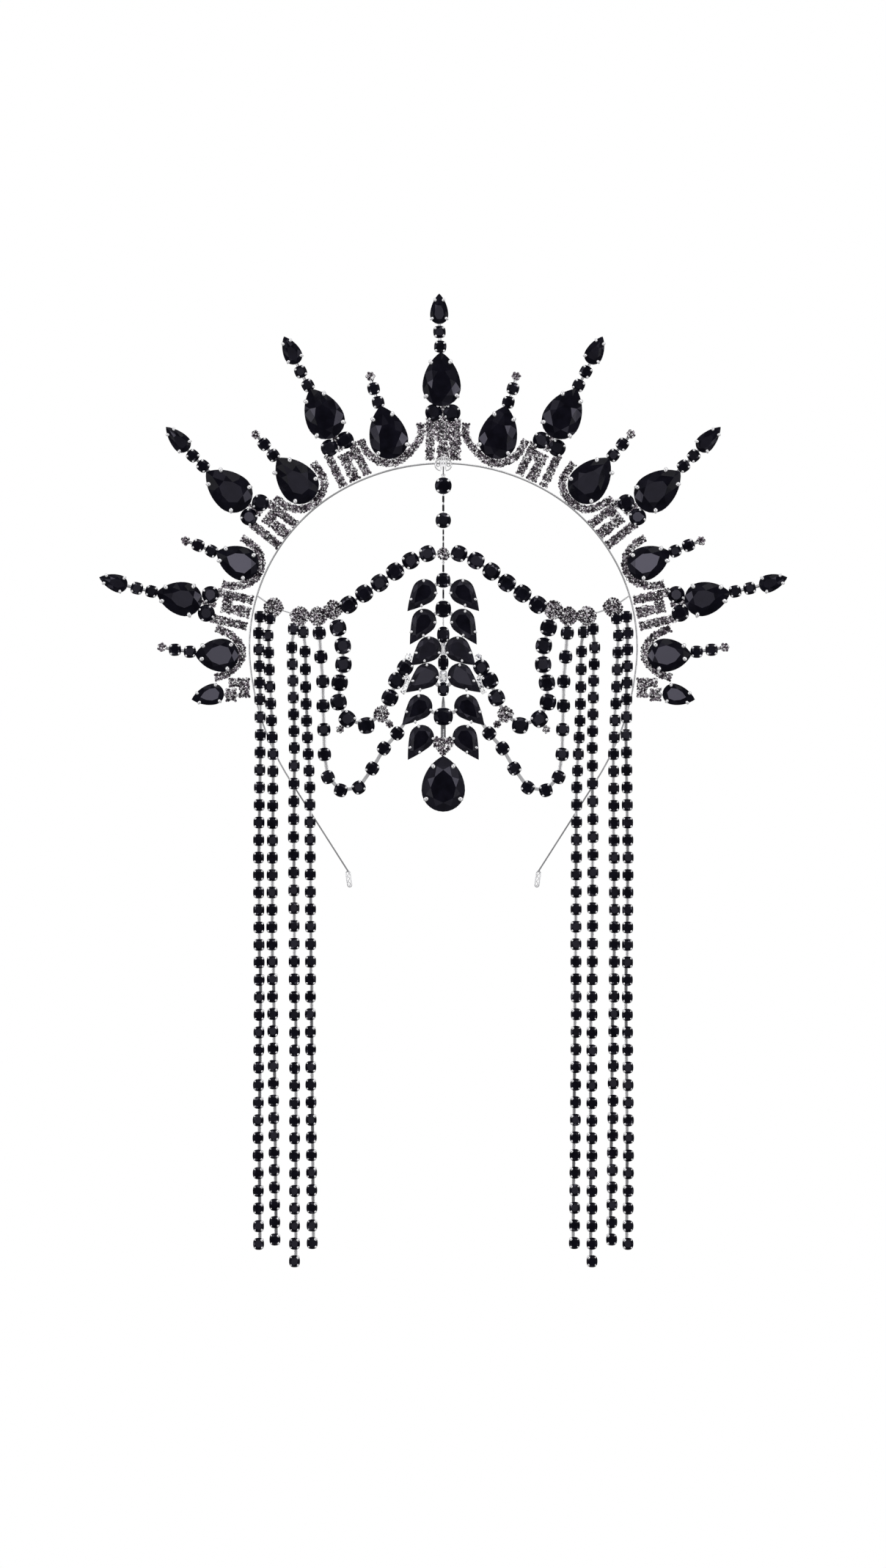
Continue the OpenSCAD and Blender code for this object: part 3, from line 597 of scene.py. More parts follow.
# One small crystal, six crown facets round a table, and the tiny beads between crystals
small_crystal = turned([(0.48, -0.2), (0.6, 0.1), (0.57, 0.2), (0.3, 0.62)], 6)
seed_bead = bead(0.2, 6, 4)
CRYSTAL_STEP = 0.96


def set_crystal(ice, at, z, grain=1.0):
    """Presses one crystal in at its own small tilt and turn."""
    points, faces = small_crystal
    tilt = points.copy()
    tilt[:, 2] += points[:, :2] @ chance.uniform(-0.32, 0.32, 2)
    at = (*at, z + chance.uniform(-0.15, 0.1))
    ice.lay((tilt, faces), at, chance.uniform(0, 60), grain * chance.uniform(0.88, 1.06))


def cluster(metal, ice, at, d, depth=2.6, grain=1.0, back=DRAPE_BACK):
    """A cup full of small crystals, set close in uneven rings round a middle one."""
    step = CRYSTAL_STEP * grain
    r = d / 2
    cup = [(r * 0.7, 0), (r * 0.76, 0.2), (r * 0.76, depth - 1), (r * 0.65, depth - 0.85)]
    metal.lay(turned(cup, 14), (*at, back))
    start = chance.uniform(0, 60)
    reaches = [min(step * k, r - 0.42 * grain) for k in range(1, math.ceil((r - 0.2) / step))]
    set_crystal(ice, at, back + depth - 0.6, grain)
    for reach in reaches or [r - 0.45]:
        count = max(4, round(2 * math.pi * reach / step))
        for k in range(count):
            a = start + 360 * k / count
            c, s = cos_sin(a)
            far = reach * (1 + 0.05 * cos_sin(4 * a)[0]) + chance.uniform(-0.1, 0.2)
            set_crystal(ice, (at[0] + far * c, at[1] + far * s), back + depth - 0.75, grain)
            if k % 2:
                c, s = cos_sin(a + 180 / count)
                metal.lay(seed_bead, (at[0] + far * c, at[1] + far * s, back + depth - 0.25))


# the chain swells at each of its cups; its bed strip is painted nearly to the painted shade, as shade between
# the crystals
CUP_APART, CUP_SWELL, BED_TONE = 3.1, 0.14, 0.9


def crystal_chain(metal, ice, path, across=(-1, 0, 1), depth=2.6, back=RAY_BACK):
    """Crystal chain along a path: crystals close together, side by side, on a strip."""
    path = np.array(path, float)
    gone = walked(path)
    long = gone[-1]

    def along(s):
        return np.array([np.interp(s, gone, path[:, k]) for k in (0, 1)])

    half = max(across) * CRYSTAL_STEP * 0.9 + 0.2
    strip = [(*along(s), back + (depth - 1) / 2) for s in np.linspace(0, long, max(2, round(long / 1.5)) + 1)]
    metal.lay(sweep(strip, rolled_section(2 * half, depth - 1, 0.3)), tones=BED_TONE)
    for s in np.linspace(0.1, long - 0.1, round(long / CRYSTAL_STEP) + 1):
        ahead = along(min(s + 0.4, long)) - along(max(s - 0.4, 0))
        ahead /= np.linalg.norm(ahead)
        out = np.array([-ahead[1], ahead[0]])
        swell = CRYSTAL_STEP * (1 + CUP_SWELL * math.cos(2 * math.pi * s / CUP_APART))
        for place in across:
            spot = along(s) + out * (place * swell) + chance.uniform(-0.13, 0.13, 2)
            set_crystal(ice, spot, back + depth - 0.75)
            if chance.random() < 0.3:
                spot = along(s) + out * ((place + 0.5) * swell) + ahead * 0.45
                metal.lay(seed_bead, (*spot, back + depth - 0.3))


def link(metal, p, q, wide, thick=0.8, z=LINE_Z, tone=0.0):
    """A flat link of plated strip between two cups, its sides painted dark as shade and its face toned
    towards painted shade by the tone.
    """
    middle = np.add(p, q) / 2
    strip = sweep([(*p, z), (*middle, z), (*q, z)], rolled_section(wide, thick, thick * 0.3))
    metal.lay(strip, tones=edged(2, tone))


# jet glass: its toned colour is a painted reflection, lighter facets standing in for facets that flash
jet_glass = marked_finish(
    "jet glass", "jet_glass", (0.0025, 0.0022, 0.0055), (0.006, 0.0055, 0.0115), (0.23, 0.22, 0.28),
    rough=(0.03, 0.09), patch_scale=260, grain_scale=1800, bump=0.03, IOR=1.14,
)

# Painted sparkle: small cells, each of its own value, painted light and dark as the facets of foiled crystal
# flash
painted_sparkle, painted_sparkle_in, painted_sparkle_out = shader_group("painted_sparkle", [("Scale", 2200)], ["Flash", "Edge"])
place = put(painted_sparkle, "TexCoord")
cells = put(painted_sparkle, "TexVoronoi", feature="F1")
apart = put(painted_sparkle, "SeparateColor")
connect(
    painted_sparkle,
    (place, "Object", cells, "Vector"), (painted_sparkle_in, "Scale", cells, "Scale"),
    (cells, "Color", apart, "Color"), (apart, "Red", painted_sparkle_out, "Flash"),
    (cells, "Distance", painted_sparkle_out, "Edge"),
)
# painted glow: the crystals give off their own colour as light, standing in for what foiled facets throw back
# on top of what falls on them
PAINTED_GLOW = 0.22


def ramp(tree, steps):
    """A colour ramp through rows of place and colour."""
    made = put(tree, "ValToRGB")
    while len(made.color_ramp.elements) < len(steps):
        made.color_ramp.elements.new(1.0)
    for element, (where, tone) in zip(made.color_ramp.elements, steps):
        element.position = where
        element.color = (*tone, 1)
    return made


def crystal_finish(name, slot, steps, scale=1900, rough=(0.08, 0.2), metallic=0.55):
    """Foiled crystal: each cell's painted flash picks a tone from dark to bright, used as its colour and, as
    a painted glow, its emission.
    """
    finish, tree, shader = new_finish(name, Metallic=metallic, IOR=1.6, Emission_Strength=PAINTED_GLOW)
    effect = put(tree, "Group", node_tree=painted_sparkle, Scale_in=scale)
    tones = ramp(tree, steps)
    tones.color_ramp.interpolation = "CONSTANT"
    gloss = put(tree, "MapRange", To_Min_in=rough[0], To_Max_in=rough[1])
    connect(
        tree,
        (effect, "Flash", tones, "Fac"),
        (tones, "Color", shader, "Base Color"), (tones, "Color", shader, "Emission Color"),
        (effect, "Edge", gloss, "Value"), (gloss, "Result", shader, "Roughness"),
    )
    return finish, slot


pale_crystal = crystal_finish(
    "black diamond crystal", "black_diamond_crystal",
    [(0, (0.012, 0.008, 0.013)), (0.38, (0.07, 0.052, 0.07)), (0.56, (0.22, 0.185, 0.22))]
    + [(0.7, (0.5, 0.45, 0.5)), (0.81, (1, 1, 1))],
)
dark_crystal = crystal_finish(
    "dark diamond crystal", "black_diamond_crystal",
    [(0, (0.008, 0.005, 0.009)), (0.44, (0.05, 0.038, 0.05)), (0.65, (0.22, 0.19, 0.22))]
    + [(0.79, (0.65, 0.6, 0.65)), (0.87, (1, 1, 1))],
)
clear_crystal = crystal_finish(
    "clear crystal", "clear_crystal",
    [(0, (0.12, 0.12, 0.14)), (0.12, (0.7, 0.7, 0.74)), (0.28, (1, 1, 1))],
    scale=1500, rough=(0.05, 0.14), metallic=0.8,
)

# The comb at the foot of each long ray: heights of its foot, neck, head and bow, how far
# aside its pairs run, and its bars and rows of crystals
COMB_FOOT, COMB_NECK, COMB_HEAD, COMB_BOW, COMB_GAP = 73.3, 78.9, 80.4, 83.6, 2.744
PAIR_ROW, NECK_ROW = (-0.5, 0.5), (-1.1, 0, 1.1)
SIDE_ROW, TOP_ROW = (-1.6, -0.55, 0.55, 1.6), (-1.9, -0.65, 0.65, 1.9)
SIDE_BARS = [(-4.8, (-1.15, 0, 1.15)), (5, (-1.15, 0, 1.15))]
TOP_BARS = [(-4.85, (-1.2, 0, 1.2)), (4.4, (-1.65, -0.55, 0.55, 1.65))]
SETTING_SHARP = 40


def trays(*finishes):
    """A tray for the silver settings and one for each other finish."""
    return [Tray(silver, SETTING_SHARP), *map(Tray, finishes)]


def make_ray(kind, place, side, ray):
    """One ray, with its settings, small stones, crystals and large stone as four pieces."""
    metal, jet, ice, large = trays(jet_glass, pale_crystal, jet_glass)
    ray = {**USUAL_RAY, **ray}
    (x, y), angle, table = ray["seat"], ray["angle"], ray["table"]

    def from_seat(rows):
        return [(p - x, q - y, *rest) for p, q, *rest in rows]

    pear = (x, y), ray["turn"], ray["half"], ray["tip"], RAY_BACK
    pear_cup(metal, *pear, claws=from_seat(ray["claws"]))
    lively = 0.3 if table < 0.1 else 0.12
    pear_jet(large, *pear, table=table, flashes=from_seat(ray["flashes"]), lively=lively)
    for spot in ray["small"]:
        round_set(metal, jet, spot, RAY_BACK, RAY_STONE, chance.uniform(-5, 5), 2.8, 0.95)
    if kind == "spike":
        crystal_chain(metal, ice, ray["garland"])
        cluster(metal, ice, ray["ball"], BALL_D, grain=1.15, back=RAY_BACK)
        foot, end = (0, 75.5), ray["ball"]
    else:
        # the top ray's comb is filled above its neck, the others' only on the upper side
        head = ray["base"][0][1] - 3
        bars, row, top, gaps = SIDE_BARS, SIDE_ROW, COMB_BOW, (-COMB_GAP,)
        if angle == 0:
            bars, row, top, gaps = TOP_BARS, TOP_ROW, head, (-COMB_GAP, COMB_GAP)
        lines = [(bar, COMB_FOOT, head + 0.6, across) for bar, across in bars]
        lines += [(0, COMB_FOOT, COMB_NECK - 0.8, row), (0, COMB_NECK - 0.2, COMB_NECK + 0.8, NECK_ROW)]
        lines += [(0, COMB_HEAD, top, row)] + [(gap, COMB_HEAD + 0.2, top, PAIR_ROW) for gap in gaps]
        for bar, low, high, across in lines:
            crystal_chain(metal, ice, [(bar, low), (bar, high)], across)
        for p, q, tone in ray["base"]:
            turn = chance.uniform(-30, 30)
            round_set(metal, jet, (p, q), RAY_BACK, CHAIN_STONE, turn, 2.1, 1.0, table=tone)
        crystal_chain(metal, ice, [(0, head + 0.5), (0, head + 5.5)], PAIR_ROW)
        p, q, half, tip, turn, tone = ray["end"]
        pear = (p, q), turn, half, tip, RAY_BACK
        pear_cup(metal, *pear, wide=1.2)
        pear_jet(jet, *pear, table=tone, lively=0.4)
        foot, end = (0, head + 2.2), (p, q)
    # the solder wire is painted towards shade, darker than its silver
    metal.lay(bent_wire([foot, (x, y), *ray["small"], end], SOLDER, RAY_BACK + 0.6), tones=0.7)
    pieces(f"{kind}_{place}", side, angle, settings=metal, small_stones=jet, crystals=ice)
    large.piece(f"{kind}_stone_{place}", "_cut", side, angle)


make_ray("spire", "top", 1, SPIRES[0])
for side, hand in HANDS:
    for kind, rays in (("spire", SPIRES[1:]), ("spike", SPIKES)):
        for i, ray in enumerate(rays, 1):
            make_ray(kind, f"{hand}_{i}", side, ray)

# END LEAVES
# Below the halo's ends a small pear lies on its side on each hand, soldered to a short
# double row of crystal chain that reaches back to the band.
END_AT, END_TURN, END_R, END_TIP = (84.6, -84.6), 104, 3.8, 8.2
END_ROWS = [
    ((73.2, -79), (73.2, -85.6), (-1.5, -0.5, 0.5, 1.5)),
    ((75.2, -80.4), (78.6, -80.4), (-1.2, 0, 1.2)),
    ((76.4, -84.9), (79.9, -84.9), TOP_ROW),
]
for side, hand in HANDS:
    metal, ice, jet = trays(pale_crystal, jet_glass)
    for p, q, across in END_ROWS:
        crystal_chain(metal, ice, [p, q], across)
    link(metal, (75, -85), END_AT, SOLDER, 0.9, RAY_BACK + 0.6)
    pear = END_AT, -END_TURN, END_R, END_TIP, RAY_BACK
    pear_cup(metal, *pear, wide=1.25)
    # the leaf's table is painted light, a painted reflection
    pear_jet(jet, *pear, table=0.5, lively=0.2)
    pieces(f"end_leaf_{hand}", side, setting=metal, crystals=ice)
    jet.piece(f"end_leaf_stone_{hand}", "_cut", side)

# TIKKA CHAIN
# Two round stones hang from the hook's pin over the forehead, on links of small black
# tube beads with silver ends, down to the crystal cluster where the chains meet.
APEX, APEX_D = (0, -33.2), 4.6
TIKKA = [((0, -8.05), 6.4), ((0, -20.8), 5.9)]


def tube_link(metal, jet, top, low, wide, beads):
    """A hanging link: dark tube beads threaded on a wire between silver end caps."""
    metal.lay(sweep([(0, y, LINE_Z) for y in (low, (low + top) / 2, top)], oval(0.28, 6)))
    step = (top - low) / beads
    for k in range(beads):
        y = low + (k + 0.5) * step
        jet.lay(sweep([(0, y + end * step * 0.36, LINE_Z) for end in (-1, 0, 1)], oval(wide / 2)))
        for end in (-1, 1):
            metal.lay(bead(wide * 0.42, 8, 4), (0, y + end * step * 0.45, LINE_Z))


metal, jet, ice = trays(jet_glass, dark_crystal)
for spot, d in TIKKA:
    round_set(metal, jet, spot, DRAPE_BACK, d, 0, 2.1, 1.1)
cluster(metal, ice, APEX, APEX_D)
tube_link(metal, jet, -11.3, -17.8, 0.8, 2)
tube_link(metal, jet, -23.9, -30.9, 0.6, 3)
pieces("tikka_chain", settings=metal, stones=jet, crystals=ice)

# FOREHEAD CHAINS
# From the cluster a chain of six round stones swings out and down on each side to four
# crystal clusters, and the last of them is wired to the band.
FOREHEAD = [
    (5.8, -33, 6.2), (12, -35.6, 6.4), (17.7, -39.6, 6.6),
    (23.4, -43.8, 6.6), (29.1, -47.7, 6.6), (34.8, -51.8, 6.6),
]
CLUSTERS = [(40.6, -53.7), (46.1, -56.1), (52.8, -55.9), (62.4, -52.7)]
CLUSTER_D, FLOWER_D, CHAIN_LINK, TIE_WIRE, JOINT_HEADING = 7.1, 6.6, 1.3, 0.55, 73.4


def stone_chain(metal, jet, stones, power, head, wide=0.9, tone=0.7, ice=None):
    """Cup-set stones in a row with links between them. One of size 0 is a crystal flower."""
    for i, (x, y, d) in enumerate(stones):
        before, after = stones[max(i - 1, 0)], stones[min(i + 1, len(stones) - 1)]
        if d:
            bearing = math.degrees(math.atan2(after[1] - before[1], after[0] - before[0]))
            round_set(metal, jet, (x, y), DRAPE_BACK, d, bearing, power, head)
        else:
            cluster(metal, ice, (x, y), FLOWER_D, grain=1.2)
        if i:
            link(metal, before[:2], (x, y), wide, tone=tone)


for side, hand in HANDS:
    metal, jet, ice = trays(jet_glass, dark_crystal)
    stone_chain(metal, jet, FOREHEAD, 2.4, 1.1)
    for spot in CLUSTERS:
        cluster(metal, ice, spot, CLUSTER_D, grain=1.05)
    for p, q in zip([FOREHEAD[-1][:2], *CLUSTERS], CLUSTERS[:3]):
        link(metal, p, q, 1.1)
    joint = centres[1] + (BAND_ARCS[1][0] + STRIP_THICK / 2) * outward(JOINT_HEADING)
    for p, q in ((CLUSTERS[2], CLUSTERS[3]), (CLUSTERS[3], joint)):
        link(metal, p, q, TIE_WIRE, TIE_WIRE, DRAPE_BACK + 0.5)
    metal.lay(turned([(0.4, 0), (0.4, 1.2), (0.3, 1.3)], 10), (*joint, BAND_FRONT + 0.05))
    pieces(f"forehead_chain_{hand}", side, settings=metal, stones=jet, crystals=ice)

# CENTRE ORNAMENT
# A stiff soldered spine of six round stones, two clear crystals, pins and a ribbed stem,
# with six pairs of pear stones as leaves and a crystal triangle at the foot.
# height, width and length of each round stone
SPINE = [
    (-42.8, 5.3, 5.5), (-53.4, 5.8, 6.2), (-62.8, 4.6, 6),
    (-73.1, 3.9, 5.6), (-82.9, 4.2, 5.1), (-92.9, 7.1, 6.5),
]
LEAF_R, LEAF_SWING = 4.55, 22
# middle of the round end, direction of the tip from straight down, tip, root on the
# spine, painted reflection tone of the table, and where the four claws hold the leaf
LEAVES = [
    (6.9, -46.9, 41, 9.6, -42.7, 0, [(7.2, -43), (2.8, -47.5), (8, -52), (11.8, -49.8)]),
    (7.05, -57.8, 31.4, 10.1, -53.2, 0, [(8, -54.3), (3.1, -58.3), (7.3, -63.1), (11.7, -61.8)]),
    (5.2, -68, 47.5, 8.9, -62.9, 0.05, [(5.3, -64), (1.5, -69.5), (6.9, -72.4), (9.9, -69.5)]),
    (6.1, -77.8, 51, 9.9, -83, 0.2, [(6, -74), (2.2, -78.5), (8.5, -83), (11.2, -79.8)]),
    (8.5, -89.2, 43.7, 9.6, -92.9, 0, [(9, -85.4), (4.6, -90.5), (10.3, -94.8), (13.5, -91.2)]),
    (7.9, -100.5, 31.6, 9.8, -103.6, 0, [(9, -96.6), (3.8, -101), (8.7, -106), (12.2, -104.3)]),
]
metal, jet, ice, clear = trays(jet_glass, pale_crystal, clear_crystal)
for y, wide, tall in SPINE:
    round_set(metal, jet, (0, y), DRAPE_BACK, tall / 0.97, 0, 2.4, 0.9, (wide / tall, 1))
for side in (-1, 1):
    for x, y, turn, tip, root, table, spots in LEAVES:
        c, s = cos_sin(turn - 180)
        claws = [(side * ((p - x) * c + (q - y) * s), (q - y) * c - (p - x) * s) for p, q in spots]
        pear_cup(metal, (side * x, y), side * (turn - 180), LEAF_R, tip, DRAPE_BACK, LEAF_SWING, 1.1, claws)
        link(metal, (side * x, y), (0, root), CHAIN_LINK, 0.9, DRAPE_BACK + 0.75)
# ring and neck over the first stone, dark pins between the upper ones
metal.lay(bead(0.55, 8, 5), (0, -36.2, LINE_Z))
tube_link(metal, jet, -36.6, -40.2, 0.75, 1)
tube_link(metal, jet, -45.7, -50.0, 0.65, 1)
link(metal, (0, -56), (0, -60.2), 0.5, 0.5)


def clear_stone(metal, clear, y, wide, tall, pointed):
    """A clear navette or baguette upright in a silver frame with a prong at each end."""
    if pointed:
        outline = [(c * (1 - 0.25 * abs(s)) * wide / 2, s * tall / 2) for c, s in oval(1, 32)]
    else:
        outline = [(p * wide, q * tall) for p, q in cushion(0.5, 6, 32)]
    clear.lay(cut_stone(outline, 0.55, 0.78, 0.5, 0.2, 0.8), (0, y, DRAPE_BACK + 2.0))
    frame_ring = [(p * 1.12, q * 1.1, 0) for p, q in outline]
    metal.lay(sweep(frame_ring, oval(0.22, 6), closed=True), (0, y, DRAPE_BACK + 1.9))
    for end in (-1, 1):
        for x in (-1, 1):
            metal.lay(bead(0.4, 8, 5), (x * 0.45, y + end * (tall / 2 + 0.15), DRAPE_BACK + 2.1))
    metal.lay(turned([(wide * 0.3, 0), (wide * 0.45, 0.2), (wide * 0.45, 1.6)], 12), (0, y, DRAPE_BACK))


clear_stone(metal, clear, -68.1, 1.8, 3.8, True)
clear_stone(metal, clear, -78.1, 2.1, 3.6, False)
pin = [(0, y, LINE_Z) for y in (-89.6, -87.5, -85.6)]
# the pin's front faces are painted dark, a painted reflection of the dim room
metal.lay(sweep(pin, oval(0.75), taper=(1, 0.8, 0.4)), tones=([0, 1, 1] + [0] * 5) * 2 + [0, 0])
RIBS = 26
stem = [(0, y, DRAPE_BACK + 1.25) for y in np.linspace(-103, -95.5, RIBS)]
# the ribbed stem is painted dark, painted shade that damps its ribs' highlights
metal.lay(sweep(stem, oval(1.0, 10), taper=[1.0 if k % 2 else 0.86 for k in range(RIBS)]), tones=0.85)
# height of each row of the crystal triangle, and how many cups it has
TRIANGLE, TRIANGLE_STEP = [(-101.6, 3), (-103.1, 3), (-104.6, 2), (-106.1, 1)], 2.4
for y, count in TRIANGLE:
    for k in range(count):
        cluster(metal, ice, ((k - (count - 1) / 2) * TRIANGLE_STEP, y), 2.6, 2.4)
pieces("tree_frame", stem="tree", settings=metal, round_stones=jet, crystals=ice, clear_stones=clear)

for i, (x, y, turn, tip, root, table, spots) in enumerate(LEAVES, 1):
    jet = Tray(jet_glass)
    for side in (-1, 1):
        # a long facet on the leaf's outer side is painted the lightest, a painted reflection
        flashes = [(side * -3.1, 1, 0.2), (side * -2.6, 4.6, 0.25), (side * 2.6, 4.6, 0.16)]
        leaf = (side * x, y), side * (turn - 180), LEAF_R, tip, DRAPE_BACK, LEAF_SWING
        pear_jet(jet, *leaf, table=table, flashes=flashes, lively=0.25, ring=0.07)
    jet.piece(f"leaf_stones_{i}", "_cut")

# DROP
# The largest pear, 16 mm across, hangs tip up under the triangle in a cup of its own.
# The facets beside its tip are painted light, as painted reflections.
DROP = (0, -119.9), 0, 7.8, 12.4, DRAPE_BACK
DROP_FLASHES = [(-1.8, 6.9, 0.32), (1.8, 6.9, 0.36), (-4.5, 3.2, 0.36), (4.5, 3.2, 0.42), (0, -6.6, 0.03)]
metal, jet = trays(jet_glass)
pear_cup(metal, *DROP, wide=1.7)
pear_jet(jet, *DROP, tilt=0, flashes=DROP_FLASHES, lively=0.2, ring=0.07)
metal.piece("drop_setting", "_cup", stem="drop")
jet.piece("drop_stone", "_cut")

# SWAGS
# On each side two chains loop down and back up to the ornament: an inner one of 6 mm
# stones close together with a crystal flower, and an outer one of 5 mm stones on bars.
INNER = [
    (38.7, -60.3, 6.35), (36.95, -66.9, 6.3), (36.7, -73.8, 6.3), (38.1, -80.5, 6.3),
    (38.5, -87.6, 6.3), (35.3, -93.8, 6.35), (28.3, -96.2, 6.35), (22.8, -92, 0),
    (19.6, -86, 6.3), (17.2, -79.7, 6.2), (14, -74.9, 6),
]
# small crystal cups beside the inner chain: place, the stone that each is on, clear or dark
ACCENTS = [(37.9, -97.6, 5, False), (19.8, -95.7, 7, False), (13.6, -81.9, 9, True), (12.9, -71.1, 10, True)]
OUTER = [
    (45.6, -62.2), (45, -71), (44.3, -80), (44.2, -89), (43.9, -97.7), (43.7, -106.8),
    (42.4, -115.2), (37.7, -120), (31.1, -119), (26.1, -112), (21.8, -104.6), (16.9, -99.1),
]
ACCENT_D, OUTER_D = 2.9, 5.1
for side, hand in HANDS:
    metal, jet, ice, clear = trays(jet_glass, dark_crystal, clear_crystal)
    stone_chain(metal, jet, INNER, 2.4, 1.1, 1.3, 0.25, ice)
    # a short row of clear crystals runs along the last stones, towards the leaf's tip
    row = [(13.1, -78.3), (13.3, -81), (14.8, -84)]
    crystal_chain(metal, clear, row, (-0.35, 0.35), 2.2, DRAPE_BACK)
    for x, y, on, bright in ACCENTS:
        cluster(metal, clear if bright else ice, (x, y), ACCENT_D)
        link(metal, (x, y), INNER[on][:2], CHAIN_LINK)
    pieces(f"inner_swag_{hand}", side, settings=metal, stones=jet, crystals=ice, clear_crystals=clear)

    metal, jet = trays(jet_glass)
    stone_chain(metal, jet, [(x, y, OUTER_D) for x, y in OUTER], 2.5, 0.95, CHAIN_LINK, 0.15)
    link(metal, OUTER[-1], (14.4, -95.4), CHAIN_LINK)
    pieces(f"outer_swag_{hand}", side, settings=metal, stones=jet)

# STRANDS
# Four long strands of 4 mm cup chain hang on each side. The square-shouldered cups are
# joined by narrow stamped links, plain at the top of a strand and ribbed lower down.
# top stone, lowest stone, number of stones, cluster that it hangs from, and how it strays
# from straight and even: number of the stone, shift across, up
STRANDS = [
    ((67.4, -56.2), (67.8, -287), 37, CLUSTERS[3], [(0, 0, 0), (1, 0.5, 0.4), (5, 0, 1.7)]
     + [(7, -0.2, 1.4), (14, 0.4, 1.2), (22, 0, 1.1), (30, 0.4, 0.7), (36, 0.1, 0.2)]),
    ((63.1, -58.1), (61.8, -285.4), 37, CLUSTERS[3], [(0, 0.6, 1.3), (1, 1.4, 1.3), (4, 0.8, 1.4)]
     + [(8, -0.2, 1.9), (12, 0.1, 1.8), (18, 0.6, 1.4), (36, 0.1, 0.2)]),
    ((55, -61.2), (54.9, -293.4), 37, CLUSTERS[2], [(0, 0.1, 0.5), (1, 0.7, 0.1), (3, 0.3, 0.8)]
     + [(7, -0.2, 1.9), (12, 0.1, 1.4), (24, -0.3, 0.3), (36, -0.2, 0.2)]),
    ((50.6, -61.9), (48.2, -286.5), 36, CLUSTERS[2], [(0, 0.9, 0), (1, 0.3, -0.7), (3, 0.2, -0.9)]
     + [(5, 0, -0.5), (9, -0.9, 0.7), (18, -0.6, 0.8), (22, -0.2, 0.7), (35, 0, 0)]),
]
STRAND_D, PLAIN_LINKS, ROUNDER_BELOW = 4.35, 12, 21
# upper and lower stones: squareness, shape, claws, how far aside their links hang, and
# the tones of painted shade on the links
UPPER = 3.2, (0.97, 1.03), (1, 1, 1, 1), 0.1, (0.2, 0.45, 0.7)
LOWER = 2.6, (0.96, 1.06), (0.7, 1.4, 1.05, 0.75), 0.45, (0.4, 0.65, 0.9)
RIB_HALF, RIBS_AT, HANG_SHORT = 0.62, (0.42, 0.56, 0.7), 3.1
for side, hand in HANDS:
    for i, (top, foot, count, hang, strays) in enumerate(STRANDS, 1):
        metal, jet = trays(jet_glass)
        number, *shifts = zip(*strays)
        xs, ys = (
            np.linspace(a, b, count) + np.interp(range(count), number, shift)
            for a, b, shift in zip(top, foot, shifts)
        )
        spots = list(zip(xs, ys))
        for k, (x, y) in enumerate(spots):
            power, shape, claws, aside, tones = LOWER if k >= ROUNDER_BELOW else UPPER
            round_set(metal, jet, (x, y), DRAPE_BACK, STRAND_D, 0, power, 0.85, shape, claws)
            if k == 0:
                continue
            above = spots[k - 1]
            start, end = (above[0] - aside, above[1] - 1), (x - aside, y + STRAND_D / 2 - 0.1)
            link(metal, start, end, 1.15, 0.7, tone=chance.choice(tones))
            if k > PLAIN_LINKS:
                for share in RIBS_AT:
                    rib_y = above[1] + (y - above[1]) * share - 0.35
                    rib = [(start[0] + end * RIB_HALF, rib_y, LINE_Z) for end in (-1, 1)]
                    metal.lay(sweep(rib, oval(0.24), up=(0, 1, 0)))
        share = 1 - HANG_SHORT / math.dist(top, hang)
        link(metal, top, np.add(top, np.subtract(hang, top) * share), CHAIN_LINK)
        pieces(f"strand_{hand}_{i}", side, cups=metal, stones=jet)

# STUDIO
# A plain white sweep with soft light from both sides, above and behind, and a dim space
# round the camera, so that black glass stays black. The long lens looks square on.
white, tree, _ = new_finish("white sweep")
glow = put(tree, "Emission", Color_in=(1, 1, 1, 1))
seen = put(tree, "LightPath")
level = put(tree, "MapRange", To_Min_in=0.4, To_Max_in=1.0)
connect(
    tree,
    (seen, "Is Camera Ray", level, "Value"), (level, "Result", glow, "Strength"),
    (glow, "Emission", tree.nodes["Material Output"], "Surface"),
)
FLOOR_Z, FLOOR_HALF = -0.45, 6.0
floor_mesh = bpy.data.meshes.new("floor")
corners = [(x * FLOOR_HALF, y * FLOOR_HALF, FLOOR_Z) for x, y in ((-1, -1), (1, -1), (1, 1), (-1, 1))]
floor_mesh.from_pydata(corners, [], [(0, 1, 2, 3)])
floor_mesh.materials.append(white)
stood("floor", floor_mesh)

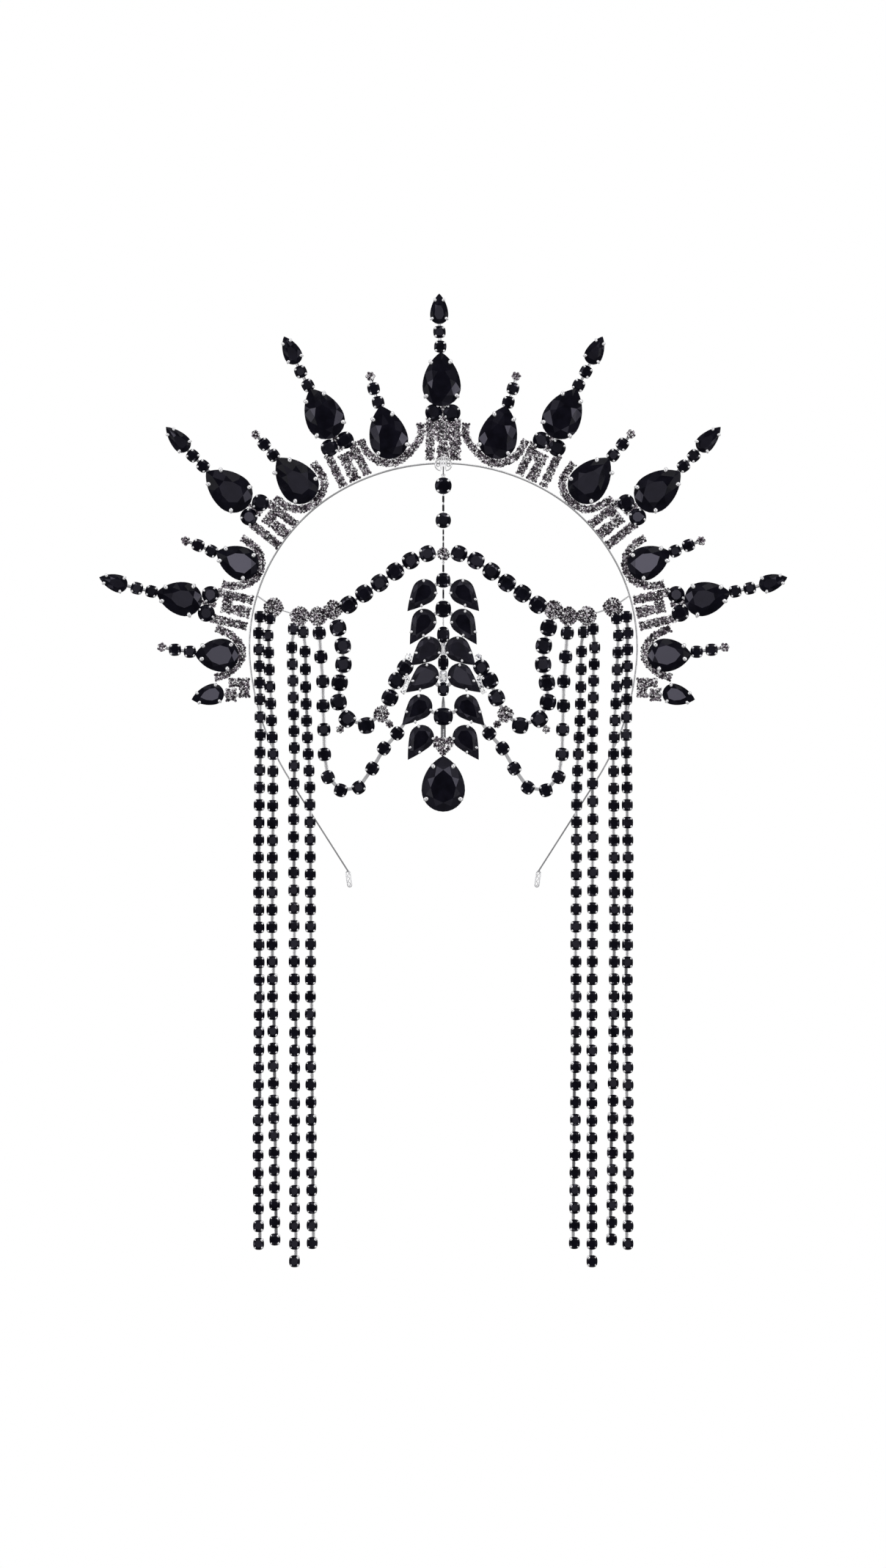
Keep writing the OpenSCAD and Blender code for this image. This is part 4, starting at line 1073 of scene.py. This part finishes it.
# the room's brightness by direction: -1 is behind the camera, 1 is behind the crown
ROOM_LIGHT = [(-1, 0.42), (-0.7, 0.5), (-0.4, 0.75), (0, 1.0), (0.3, 0.9), (0.7, 0.4), (1, 0.3)]
world = bpy.data.worlds.new("studio")
bpy.context.scene.world = world
world.use_nodes = True
tree = world.node_tree
sky = tree.nodes["Background"]
way = put(tree, "TexCoord")
axes = put(tree, "SeparateXYZ")
span = put(tree, "MapRange", From_Min_in=-1, From_Max_in=1)
dim = ramp(tree, [((toward + 1) / 2, (strength,) * 3) for toward, strength in ROOM_LIGHT])
camera_ray = put(tree, "LightPath")
blend = put(tree, "Mix", data_type="FLOAT")
# sockets of a number mix
SHARE, A, B, OUT = 0, 2, 3, 0
blend.inputs[B].default_value = 1.0
connect(
    tree,
    (way, "Generated", axes, "Vector"), (axes, "Y", span, "Value"), (span, "Result", dim, "Fac"),
    (camera_ray, "Is Camera Ray", blend, SHARE), (dim, "Color", blend, A), (blend, OUT, sky, "Strength"),
)
sky.inputs["Color"].default_value = (1, 1, 1, 1)

# softboxes: name, place, width, height, power
SOFTBOXES = [
    ("left", (-1.35, -1.25, -0.35), 0.55, 1, 5),
    ("right", (1.4, -1.3, -0.3), 0.5, 1, 4.5),
    ("above", (0.3, -1.1, 1.6), 1.2, 0.5, 6),
    ("behind", (-1.4, 1.6, 0.9), 0.6, 1, 2.5),
]
AIM = Vector((0, 0, -0.12))
for name, place_at, wide, tall, power in SOFTBOXES:
    lamp = bpy.data.lights.new("softbox_" + name, "AREA")
    lamp.shape, lamp.size, lamp.size_y, lamp.energy = "RECTANGLE", wide, tall, power
    box = stood("softbox_" + name, lamp)
    box.location = place_at
    box.rotation_euler = (AIM - Vector(place_at)).to_track_quat("-Z", "Y").to_euler()

VIEW_TALL, VIEW_MIDDLE, CAMERA_AWAY, SENSOR = 0.5773, -0.1177, 3.0, 36
camera_data = bpy.data.cameras.new("long lens")
camera_data.sensor_width = SENSOR
camera_data.lens = SENSOR * CAMERA_AWAY / VIEW_TALL
camera_data.clip_end = 40
camera = stood("camera", camera_data)
camera.location = (-0.0001, -CAMERA_AWAY, VIEW_MIDDLE)
camera.rotation_euler = (math.radians(90), 0, 0)
bpy.context.scene.camera = camera
bpy.context.scene.view_settings.view_transform = "Standard"
